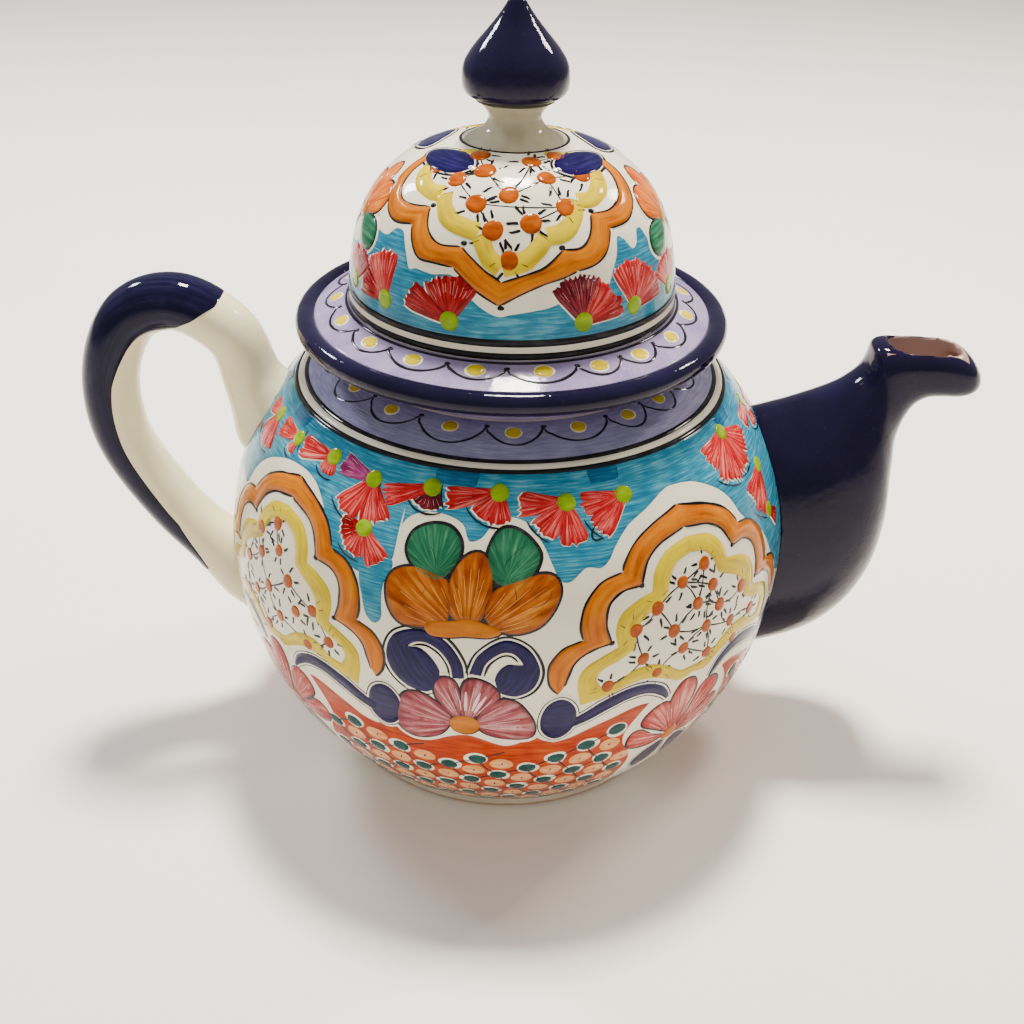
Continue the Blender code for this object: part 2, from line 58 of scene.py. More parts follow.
CELL = 2.2            # longest side of a painted coat's cells, mm
SUNK = -0.03          # how far a coat's edge goes into the ware, mm
EDGE_LOSS = 0.11      # width lost at each edge of a coat where it dips under, mm
SEED = 11             # every hand-made variation is drawn from this


class Layer(Enum):
    """Height of a coat above the white glaze, in mm, in the order of painting."""

    WASH = 0.030
    STAIN = 0.050
    HALO = 0.070
    KEYLINE = 0.090
    REVEAL = 0.110
    FILL = 0.130
    MARK = 0.155
    LINE = 0.180
    DOT = 0.205


# ---- curves and grids ---------------------------------------------------------------------------
def smooth_curve(points: list, per_span: int = 8, closed: bool = False) -> np.ndarray:
    """Catmull-Rom curve: each span is the cubic that passes through its ends, heading from each
    towards the neighbours' chord.

    Args:
        points: Rows of coordinates that the curve passes through.
        per_span: Steps to a span.
        closed: Whether the last point leads back to the first.

    Returns:
        Rows of coordinates along the curve; a closed one doesn't repeat its first.
    """
    knots = np.asarray(points, float)
    if closed:
        padded = np.vstack([knots[-1:], knots, knots[:2]])
    else:
        padded = np.vstack([2 * knots[0] - knots[1], knots, 2 * knots[-1] - knots[-2]])
    p0, p1, p2, p3 = (padded[i:len(padded) - 3 + i, None, :] for i in range(4))
    t = (np.arange(per_span) / per_span)[None, :, None]
    spans = 0.5 * (2 * p1 + (p2 - p0) * t + (2 * p0 - 5 * p1 + 4 * p2 - p3) * t ** 2
                   + (3 * p1 - 3 * p2 + p3 - p0) * t ** 3)
    rows = spans.reshape(-1, knots.shape[1])
    return rows if closed else np.vstack([rows, knots[-1:]])


def evenly(points: np.ndarray, count: int, closed: bool = False) -> np.ndarray:
    """Points at equal distances along a polyline.

    Args:
        points: Rows of coordinates.
        count: How many points to give.
        closed: Whether the polyline's last point joins its first.

    Returns:
        Rows of coordinates, equally spaced.
    """
    path = np.vstack([points, points[:1]]) if closed else np.asarray(points, float)
    along = np.concatenate([[0.0], np.cumsum(np.linalg.norm(np.diff(path, axis=0), axis=1))])
    wanted = np.linspace(0.0, along[-1], count, endpoint=not closed)
    return np.stack([np.interp(wanted, along, path[:, i]) for i in range(path.shape[1])], axis=1)


def length_of(points: np.ndarray) -> float:
    """Length of an open polyline."""
    return float(np.linalg.norm(np.diff(points, axis=0), axis=1).sum())


def soften(outline: list, reach: float, step: float = 0.4, closed: bool = False) -> np.ndarray:
    """An outline with its corners rounded: each point becomes the mean of those within reach.

    Args:
        outline: Rows (radius, height), mm.
        reach: Distance to each side that is averaged, mm.
        step: Spacing of the points worked with, mm.
        closed: Whether the outline joins its own start.

    Returns:
        Rows (radius, height), mm. An open outline keeps its two ends.
    """
    corners = np.asarray(outline, float)
    around = np.vstack([corners, corners[:1]]) if closed else corners
    rows = evenly(corners, max(8, int(length_of(around) / step)), closed)
    half = max(1, int(reach / step))
    if closed:
        padded = np.vstack([rows[-half:], rows, rows[:half]])
    else:
        padded = np.vstack([2 * rows[0] - rows[half:0:-1], rows, 2 * rows[-1] - rows[-2:-half - 2:-1]])
    box = np.ones(2 * half + 1) / (2 * half + 1)
    return np.stack([np.convolve(padded[:, i], box, "valid") for i in range(2)], axis=1)


def wobble(count: int, rng: np.random.Generator, waves: int = 4) -> np.ndarray:
    """A slow unsteadiness between about -1 and 1: a few sine waves of drawn phase and strength.

    Args:
        count: How many values.
        rng: Source of the draws.
        waves: How many sine waves.

    Returns:
        The values, in order.
    """
    t = np.linspace(0.0, 1.0, count)[:, None]
    rate = np.arange(1, waves + 1)[None, :]
    strength = rng.uniform(0.3, 1.0, (1, waves)) / rate ** 0.5
    wave = np.sin(2.0 * np.pi * (rate * t + rng.uniform(0.0, 1.0, (1, waves)))) * strength
    return wave.sum(axis=1) / strength.sum()


def make_piece(name: str, points: np.ndarray, quads: np.ndarray, tris: np.ndarray,
               extra: dict | None = None) -> bpy.types.Object:
    """A smooth mesh object from whole arrays, turned right side out by the sign of its volume.

    Args:
        name: The piece's name.
        points: Vertex places in metres, n by 3.
        quads: Vertex numbers, four to a row.
        tris: Vertex numbers, three to a row.
        extra: Point attributes by name, one value or one vector to a vertex.

    Returns:
        The object, at the origin.
    """
    halves = np.concatenate([quads[:, [0, 1, 2]], quads[:, [0, 2, 3]], tris])
    a, b, c = (points[halves[:, i]] for i in range(3))
    if float(np.einsum("ij,ij->i", a, np.cross(b, c)).sum()) < 0.0:
        quads, tris = quads[:, ::-1], tris[:, ::-1]
    mesh = bpy.data.meshes.new(name)
    mesh.vertices.add(len(points))
    mesh.vertices.foreach_set("co", np.ascontiguousarray(points, np.float32).ravel())
    loops = np.concatenate([quads.ravel(), tris.ravel()]).astype(np.int32)
    mesh.loops.add(len(loops))
    mesh.loops.foreach_set("vertex_index", loops)
    starts = np.concatenate([np.arange(len(quads)) * 4, 4 * len(quads) + np.arange(len(tris)) * 3])
    mesh.polygons.add(len(starts))
    mesh.polygons.foreach_set("loop_start", starts.astype(np.int32))
    mesh.update(calc_edges=True)
    for key, values in (extra or {}).items():
        kind, field_name = ("FLOAT_VECTOR", "vector") if values.ndim == 2 else ("FLOAT", "value")
        layer = mesh.attributes.new(key, kind, "POINT")
        layer.data.foreach_set(field_name, np.ascontiguousarray(values, np.float32).ravel())
    mesh.shade_smooth()
    obj = bpy.data.objects.new(name, mesh)
    bpy.context.scene.collection.objects.link(obj)
    return obj


def grid_faces(rows: int, columns: int, wrap_rows: bool, wrap_columns: bool) -> np.ndarray:
    """Quads of a grid whose vertices are numbered along its rows.

    Args:
        rows: Number of rows.
        columns: Vertices in a row.
        wrap_rows: Whether the last row joins the first.
        wrap_columns: Whether each row's end joins its start.

    Returns:
        Vertex numbers, four to a row.
    """
    i = np.arange(rows if wrap_rows else rows - 1)[:, None]
    j = np.arange(columns if wrap_columns else columns - 1)[None, :]
    below, right = (i + 1) % rows, (j + 1) % columns
    corners = [i * columns + j, i * columns + right, below * columns + right, below * columns + j]
    return np.stack(np.broadcast_arrays(*corners), axis=-1).reshape(-1, 4)


def end_fans(rows: int, columns: int) -> np.ndarray:
    """Triangles that close a grid's first and last ring to two middles numbered after its vertices.

    Args:
        rows: Number of rings.
        columns: Vertices in a ring.

    Returns:
        Vertex numbers, three to a row.
    """
    j = np.arange(columns)
    following = (j + 1) % columns
    first, base = rows * columns, (rows - 1) * columns
    start = np.stack([following, j, np.full(columns, first)], axis=1)
    end = np.stack([base + j, base + following, np.full(columns, first + 1)], axis=1)
    return np.vstack([start, end])


def capped_loft(name: str, rings: np.ndarray) -> bpy.types.Object:
    """A closed surface through a stack of rings, with a fan to the middle of each end ring.

    Args:
        name: The piece's name.
        rings: Places in metres, rings by points by 3.

    Returns:
        The object.
    """
    rows, columns = rings.shape[:2]
    middles = np.stack([rings[0].mean(axis=0), rings[-1].mean(axis=0)])
    points = np.vstack([rings.reshape(-1, 3), middles])
    return make_piece(name, points, grid_faces(rows, columns, False, True), end_fans(rows, columns))


# ---- ware that can be painted -------------------------------------------------------------------
@dataclass
class TurnedWare:
    """An outline carried round an upright axis.

    A point is the axis, plus the radius times (sine, minus cosine) of the angle from the front,
    plus the height; a lift moves it along the outline's outward normal.
    """

    outline: np.ndarray           # rows (radius, height), mm, going up the outside
    axis_x: float                 # metres

    def __post_init__(self) -> None:
        """Measure the outline and its normals."""
        steps = np.diff(self.outline, axis=0)
        self.along = np.concatenate([[0.0], np.cumsum(np.linalg.norm(steps, axis=1))])
        heading = np.gradient(self.outline, self.along, axis=0)
        heading /= np.linalg.norm(heading, axis=1)[:, None]
        self.normal = np.stack([heading[:, 1], -heading[:, 0]], axis=1)

    def radius(self, s: np.ndarray) -> np.ndarray:
        """Radius in mm at distances up the outline."""
        return np.interp(s, self.along, self.outline[:, 0])

    def per_degree(self, s: float) -> float:
        """Millimetres round the ware to one degree, at a distance up the outline."""
        return float(self.radius(s)) * math.pi / 180.0

    def place(self, theta: np.ndarray, s: np.ndarray, lift: np.ndarray) -> np.ndarray:
        """Places on the ware.

        Args:
            theta: Degrees from the front.
            s: Distances up the outline, mm.
            lift: Heights above the glaze, mm.

        Returns:
            Places in metres.
        """
        angle = np.radians(theta)
        normal_r = np.interp(s, self.along, self.normal[:, 0])
        normal_z = np.interp(s, self.along, self.normal[:, 1])
        reach = (self.radius(s) + lift * normal_r) * MM
        height = (np.interp(s, self.along, self.outline[:, 1]) + lift * normal_z) * MM
        return np.stack([self.axis_x + reach * np.sin(angle), -reach * np.cos(angle), height], axis=-1)


def turned_piece(name: str, outline: np.ndarray, axis_x: float, steps: int,
                 ring: bool = False) -> bpy.types.Object:
    """A closed piece: an outline turned about an upright axis.

    Args:
        name: The piece's name.
        outline: Rows (radius, height), mm. It starts and ends on the axis unless it is a ring's.
        axis_x: Where the axis stands, metres.
        steps: Facets round it.
        ring: Whether the outline is closed and clear of the axis.

    Returns:
        The object.
    """
    angle = np.arange(steps) * 2.0 * math.pi / steps
    body = outline if ring else outline[1:-1]
    reach, height = body[:, 0, None] * MM, body[:, 1, None] * MM
    points = np.stack(np.broadcast_arrays(axis_x + reach * np.sin(angle), -reach * np.cos(angle),
                                          height), axis=-1)
    rows = len(body)
    quads = grid_faces(rows, steps, ring, True)
    points = points.reshape(-1, 3)
    if ring:
        return make_piece(name, points, quads, np.empty((0, 3), int))
    ends = np.array([[axis_x, 0.0, outline[0, 1] * MM], [axis_x, 0.0, outline[-1, 1] * MM]])
    return make_piece(name, np.vstack([points, ends]), quads, end_fans(rows, steps))


# ---- finishes -----------------------------------------------------------------------------------
class Recipe:
    """A material's node tree, filled a node at a time."""

    def __init__(self, name: str) -> None:
        """Start a material that has only its shader and output.

        Args:
            name: The material's name.
        """
        self.material = bpy.data.materials.new(name)
        self.material.use_nodes = True
        self.tree = self.material.node_tree
        self.shader = self.tree.nodes["Principled BSDF"]

    def node(self, kind: str, settings: dict | None = None, **sockets: object) -> bpy.types.Node:
        """Add a node.

        Args:
            kind: The node's type.
            settings: Its own properties.
            **sockets: Inputs by name, underscores for spaces; a socket is linked, a value is set.

        Returns:
            The node.
        """
        made = self.tree.nodes.new(kind)
        for key, value in (settings or {}).items():
            setattr(made, key, value)
        for key, value in sockets.items():
            self.feed(made.inputs[key.replace("_", " ")], value)
        return made

    def feed(self, socket: bpy.types.NodeSocket, value: object) -> None:
        """Link a socket to another, or set its value.

        Args:
            socket: The input.
            value: A socket to link, or a value to set.
        """
        if isinstance(value, bpy.types.NodeSocket):
            self.tree.links.new(value, socket)
        else:
            socket.default_value = value

    def mix(self, share: object, a: object, b: object, blend: str = "MIX") -> bpy.types.NodeSocket:
        """Blend two colours by a share.

        Args:
            share: How much of the second.
            a: First colour.
            b: Second colour.
            blend: Way of blending.

        Returns:
            The blend.
        """
        made = self.tree.nodes.new("ShaderNodeMix")
        made.data_type = "RGBA"
        made.blend_type = blend
        for index, value in ((0, share), (6, a), (7, b)):
            self.feed(made.inputs[index], value)
        return made.outputs[2]

    def math(self, operation: str, a: object, b: object = 0.0, clamp: bool = False) -> bpy.types.NodeSocket:
        """One step of arithmetic.

        Args:
            operation: What is done.
            a: First number.
            b: Second number.
            clamp: Whether it stays between 0 and 1.

        Returns:
            The result.
        """
        made = self.tree.nodes.new("ShaderNodeMath")
        made.operation = operation
        made.use_clamp = clamp
        self.feed(made.inputs[0], a)
        self.feed(made.inputs[1], b)
        return made.outputs[0]

    def ramp(self, share: object, stops: list) -> bpy.types.NodeSocket:
        """Colours between stops.

        Args:
            share: What it reads.
            stops: Rows (place, colour).

        Returns:
            The colour.
        """
        made = self.tree.nodes.new("ShaderNodeValToRGB")
        elements = made.color_ramp.elements
        while len(elements) < len(stops):
            elements.new(0.5)
        for element, (place, colour) in zip(elements, stops):
            element.position = place
            element.color = (*colour, 1.0)
        self.feed(made.inputs[0], share)
        return made.outputs[0]

    def noise(self, vector: object, scale: float, detail: float = 2.0,
              roughness: float = 0.5) -> bpy.types.NodeSocket:
        """Soft noise between 0 and 1.

        Args:
            vector: Where it is read.
            scale: Grains to a unit.
            detail: Octaves.
            roughness: Strength of the finer ones.

        Returns:
            The noise.
        """
        made = self.node("ShaderNodeTexNoise", Scale=scale, Detail=detail, Roughness=roughness)
        self.feed(made.inputs["Vector"], vector)
        return made.outputs[0]

    def gloss(self, roughness: float, coat: float) -> None:
        """Set the fired gloss.

        Args:
            roughness: Of the glaze.
            coat: Weight of the clear coat.
        """
        self.shader.inputs["Roughness"].default_value = roughness
        self.shader.inputs["Coat Weight"].default_value = coat
        self.shader.inputs["Coat Roughness"].default_value = 0.03
        self.shader.inputs["IOR"].default_value = 1.45
        self.shader.inputs["Specular IOR Level"].default_value = 0.14


@dataclass(frozen=True)
class WareGlaze:
    """Opaque glaze over clay: slow changes of tone, fine specks and a slightly uneven surface."""

    name: str
    light: tuple
    dark: tuple
    speck: tuple
    speck_share: float = 0.30     # 0 none, 1 everywhere
    roughness: float = 0.10
    coat: float = 0.12
    unevenness: float = 0.35      # strength of the slow bump
    tone_scale: float = 28.0      # changes of tone to a metre
    foot: tuple | None = None     # colour of bare clay under the lowest edge
    foot_height: float = 0.9 * MM
    painted_reflection: tuple | None = None   # colour, low corner and high corner of a box where a painted reflection of the pale surroundings takes the glaze's place

    def material(self) -> bpy.types.Material:
        """The glaze as a node material on object coordinates.

        Returns:
            The material, made once.
        """
        made = bpy.data.materials.get(self.name)
        if made:
            return made
        recipe = Recipe(self.name)
        place = recipe.node("ShaderNodeTexCoord").outputs["Object"]
        tone = recipe.noise(place, self.tone_scale, 3.0, 0.6)
        colour = recipe.ramp(tone, [(0.32, self.dark), (0.68, self.light)])
        specks = recipe.ramp(recipe.noise(place, 1400.0, 1.0), [(0.70, (0, 0, 0)), (0.80, (1, 1, 1))])
        colour = recipe.mix(recipe.math("MULTIPLY", specks, self.speck_share), colour, (*self.speck, 1.0))
        if self.foot:
            height = recipe.node("ShaderNodeSeparateXYZ", Vector=place).outputs["Z"]
            ragged = recipe.math("MULTIPLY", recipe.noise(place, 260.0), 0.8 * MM)
            bare = recipe.math("LESS_THAN", height, recipe.math("ADD", ragged, self.foot_height))
            colour = recipe.mix(bare, colour, (*self.foot, 1.0))
        # Painted reflection: inside the box the glaze colour is swapped for a pale pinkish grey that stands
        # in for the surroundings reflected in the glaze.
        if self.painted_reflection:
            reflection_colour, low, high = self.painted_reflection
            axes = recipe.node("ShaderNodeSeparateXYZ", Vector=place).outputs
            share = 1.0
            for axis, (least, most) in zip(axes, zip(low, high)):
                share = recipe.math("MULTIPLY", share, recipe.math("GREATER_THAN", axis, least))
                share = recipe.math("MULTIPLY", share, recipe.math("LESS_THAN", axis, most))
            colour = recipe.mix(share, colour, (*reflection_colour, 1.0))
        recipe.feed(recipe.shader.inputs["Base Color"], colour)
        slow = recipe.noise(place, 75.0, 2.0)
        fine = recipe.noise(place, 520.0, 2.0)
        height = recipe.math("ADD", slow, recipe.math("MULTIPLY", fine, 0.16))
        bump = recipe.node("ShaderNodeBump", Strength=self.unevenness, Distance=0.9 * MM, Height=height)
        recipe.feed(recipe.shader.inputs["Normal"], bump.outputs[0])
        recipe.gloss(self.roughness, self.coat)
        return recipe.material


@dataclass(frozen=True)
class Pigment:
    """Brushed colour under the clear glaze.

    The attribute "brush" holds the distance along the stroke, the distance across it and the
    stroke's own number; noise stretched along the stroke gives its brush marks. The attribute
    "rim" runs from 0 inside to 1 at the edge, where wet colour gathers.
    """

    name: str
    deep: tuple
    body: tuple
    pale: tuple
    mark_width: float = 0.5       # mm from one brush mark to the next
    mark_length: float = 9.0      # mm
    contrast: float = 0.22        # how far apart the tones lie in the noise; less is harsher
    pool: float = 0.35            # how much darker the edge is
    roughness: float = 0.10

    def material(self) -> bpy.types.Material:
        """The pigment as a node material on its brush marks.

        Returns:
            The material, made once.
        """
        made = bpy.data.materials.get(self.name)
        if made:
            return made
        recipe = Recipe(self.name)
        brush = recipe.node("ShaderNodeAttribute", {"attribute_name": "brush"}).outputs["Vector"]
        rim = recipe.node("ShaderNodeAttribute", {"attribute_name": "rim"}).outputs["Fac"]
        stretch = (1.0 / self.mark_length, 1.0 / self.mark_width, 3.7)
        marks = recipe.node("ShaderNodeVectorMath", {"operation": "MULTIPLY"})
        recipe.feed(marks.inputs[0], brush)
        recipe.feed(marks.inputs[1], stretch)
        streaks = recipe.noise(marks.outputs[0], 1.0, 2.0, 0.55)
        place = recipe.node("ShaderNodeTexCoord").outputs["Object"]
        cloud = recipe.noise(place, 190.0, 2.0)
        tone = recipe.math("ADD", recipe.math("MULTIPLY", streaks, 0.72),
                           recipe.math("MULTIPLY", cloud, 0.28))
        colour = recipe.ramp(tone, [(0.5 - self.contrast, self.deep), (0.5, self.body),
                                    (0.5 + self.contrast, self.pale)])
        gathered = recipe.math("MULTIPLY", recipe.math("POWER", rim, 5.0), self.pool, clamp=True)
        colour = recipe.mix(gathered, colour, (*self.deep, 1.0))
        recipe.feed(recipe.shader.inputs["Base Color"], colour)
        bump = recipe.node("ShaderNodeBump", Strength=0.25, Distance=0.15 * MM, Height=streaks)
        slow = recipe.node("ShaderNodeBump", Strength=0.35, Distance=0.9 * MM,
                           Height=recipe.noise(place, 75.0, 2.0), Normal=bump.outputs[0])
        recipe.feed(recipe.shader.inputs["Normal"], slow.outputs[0])
        recipe.gloss(self.roughness, 0.08)
        return recipe.material


WHITE_WARE = WareGlaze("white_tin_glaze", (0.84, 0.78, 0.63), (0.77, 0.71, 0.56), (0.50, 0.42, 0.28), 0.25)
FOOT_WARE = WareGlaze("foot_glaze", (0.72, 0.66, 0.52), (0.60, 0.54, 0.41), (0.40, 0.32, 0.22), 0.4,
                      foot=(0.50, 0.33, 0.20))
CREAM_WARE = WareGlaze("cream_handle_glaze", (0.88, 0.80, 0.52), (0.80, 0.71, 0.43), (0.55, 0.43, 0.22), 0.35,
                       unevenness=0.5)
LILAC_WARE = WareGlaze("lilac_flange_glaze", (0.32, 0.255, 0.42), (0.215, 0.17, 0.33),
                       (0.66, 0.62, 0.76), 0.5,
                       tone_scale=120.0)
NAVY_WARE = WareGlaze("navy_glaze", (0.010, 0.007, 0.030), (0.004, 0.003, 0.014), (0.04, 0.04, 0.08), 0.3,
                      roughness=0.05, coat=0.14, unevenness=0.6)
STEM_WARE = WareGlaze("stem_glaze", (0.52, 0.47, 0.34), (0.38, 0.33, 0.22), (0.42, 0.34, 0.22), 0.35,
                      tone_scale=90.0)

INK = Pigment("black_line", (0.004, 0.004, 0.005), (0.010, 0.010, 0.012), (0.04, 0.04, 0.043), pool=0.0)
RESERVE = Pigment("white_reserve", (0.74, 0.68, 0.53), (0.82, 0.76, 0.61), (0.84, 0.79, 0.66),
                  1.6, 6.0, pool=0.0)
TURQUOISE = Pigment("turquoise_wash", (0.005, 0.098, 0.19), (0.022, 0.205, 0.325), (0.13, 0.40, 0.51),
                    0.45, 7.0, 0.21, 0.3)
DEEP_BLUE = Pigment("deep_blue_wash", (0.002, 0.05, 0.13), (0.008, 0.10, 0.21), (0.04, 0.19, 0.30), 0.5, 6.0)
LILAC = Pigment("lilac_wash", (0.17, 0.16, 0.29), (0.27, 0.26, 0.42), (0.42, 0.41, 0.56),
                0.35, 5.0, 0.24, 0.2)
NAVY = Pigment("navy_stroke", (0.002, 0.001, 0.020), (0.007, 0.004, 0.050), (0.020, 0.014, 0.09), 0.9, 8.0)
RED = Pigment("red_petal", (0.23, 0.002, 0.004), (0.48, 0.012, 0.016), (0.72, 0.19, 0.16),
              0.62, 11.0, 0.17, 0.5)
CRIMSON = Pigment("crimson_petal", (0.08, 0.001, 0.002), (0.28, 0.003, 0.005), (0.46, 0.04, 0.04),
                  0.6, 9.0, 0.18, 0.4)
PINK = Pigment("pink_petal", (0.15, 0.010, 0.018), (0.33, 0.070, 0.085), (0.58, 0.30, 0.30),
               0.85, 14.0, 0.16, 0.8)
ROSE = Pigment("rose_petal", (0.28, 0.008, 0.007), (0.46, 0.042, 0.032), (0.70, 0.24, 0.20),
               0.8, 14.0, 0.16, 0.7)
RUST = Pigment("rust_petal", (0.16, 0.024, 0.0), (0.38, 0.084, 0.002), (0.60, 0.23, 0.025),
               0.75, 12.0, 0.18, 0.8)
BERRY = Pigment("rust_dot", (0.18, 0.028, 0.0), (0.34, 0.060, 0.001), (0.48, 0.12, 0.008),
                2.0, 4.0, 0.25, 0.3)
ORANGE = Pigment("orange_stroke", (0.27, 0.055, 0.0), (0.50, 0.130, 0.0), (0.62, 0.21, 0.0),
                 1.5, 14.0, 0.2, 0.6)
YELLOW = Pigment("yellow_stroke", (0.44, 0.27, 0.0), (0.61, 0.455, 0.0), (0.70, 0.55, 0.0),
                 1.8, 12.0, 0.22, 0.4)
MUSTARD = Pigment("mustard_dab", (0.34, 0.085, 0.0), (0.46, 0.130, 0.0), (0.54, 0.18, 0.0),
                  2.2, 8.0, 0.25, 0.4)
LIME = Pigment("lime_dot", (0.10, 0.19, 0.0), (0.22, 0.36, 0.0), (0.36, 0.50, 0.01), 2.0, 4.0, 0.25, 0.4)
LEAF = Pigment("green_leaf", (0.004, 0.048, 0.022), (0.016, 0.135, 0.064), (0.09, 0.27, 0.15),
               0.8, 9.0, 0.22, 0.6)
EMBER = Pigment("orange_ground", (0.24, 0.013, 0.0), (0.40, 0.034, 0.0), (0.54, 0.08, 0.002),
                1.1, 7.0, 0.2, 0.2)
PEACH = Pigment("peach_scale", (0.60, 0.19, 0.04), (0.75, 0.35, 0.13), (0.82, 0.50, 0.24), 1.0, 5.0, 0.2, 0.5)
TEAL = Pigment("teal_dot", (0.001, 0.026, 0.028), (0.004, 0.050, 0.048), (0.02, 0.10, 0.09),
               1.6, 4.0, 0.25, 0.3)
SPARK = Pigment("pale_gap", (0.60, 0.14, 0.12), (0.78, 0.36, 0.32), (0.84, 0.58, 0.52), 1.0, 5.0, pool=0.0)
SPARK_GOLD = Pigment("gold_streak", (0.58, 0.22, 0.05), (0.74, 0.38, 0.12), (0.82, 0.52, 0.22),
                     1.0, 5.0, pool=0.0)
SPARK_PINK = Pigment("pink_streak", (0.62, 0.34, 0.33), (0.78, 0.56, 0.54), (0.84, 0.72, 0.68),
                     1.0, 9.0, pool=0.0)
EMBER_PETAL = Pigment("orange_petal", (0.40, 0.05, 0.0), (0.66, 0.14, 0.004), (0.76, 0.28, 0.04),
                      0.8, 10.0, 0.16, 0.6)
PLUM = Pigment("plum_petal", (0.10, 0.006, 0.045), (0.28, 0.03, 0.14), (0.48, 0.14, 0.30),
               0.6, 9.0, 0.17, 0.4)
NAVY_BAND = Pigment("navy_band", (0.003, 0.002, 0.012), (0.006, 0.005, 0.024), (0.018, 0.014, 0.05),
                    1.4, 16.0, 0.25, 0.2, roughness=0.06)
MAROON = Pigment("maroon_petal", (0.035, 0.003, 0.008), (0.11, 0.006, 0.014), (0.30, 0.04, 0.05),
                 0.6, 7.0, 0.16, 0.4)


# ---- laying pigment on ware ---------------------------------------------------------------------
@dataclass
class Coat:
    """Everything painted with one pigment on one ware, waiting to become a mesh."""

    points: list = field(default_factory=list)
    brush: list = field(default_factory=list)
    rim: list = field(default_factory=list)
    quads: list = field(default_factory=list)
    tris: list = field(default_factory=list)
    count: int = 0

    def add(self, points: np.ndarray, brush: np.ndarray, rim: np.ndarray, quads: np.ndarray,
            tris: np.ndarray) -> None:
        """Add one closed shape, whose faces count from its own first vertex.

        Args:
            points: Vertex places.
            brush: Brush attribute of each.
            rim: Rim attribute of each.
            quads: Faces of four.
            tris: Faces of three.
        """
        self.points.append(points)
        self.brush.append(brush)
        self.rim.append(rim)
        self.quads.append(quads + self.count)
        self.tris.append(tris + self.count)
        self.count += len(points)

    def piece(self, name: str) -> bpy.types.Object:
        """The coat as one mesh object."""
        extra = {"brush": np.vstack(self.brush), "rim": np.concatenate(self.rim)}
        return make_piece(name, np.vstack(self.points), np.vstack(self.quads), np.vstack(self.tris), extra)


def signed_area(flat: np.ndarray) -> float:
    """Area inside a closed polyline, positive when it runs anticlockwise."""
    x, y = flat[:, 0], flat[:, 1]
    return 0.5 * float(np.sum(x * np.roll(y, -1) - y * np.roll(x, -1)))


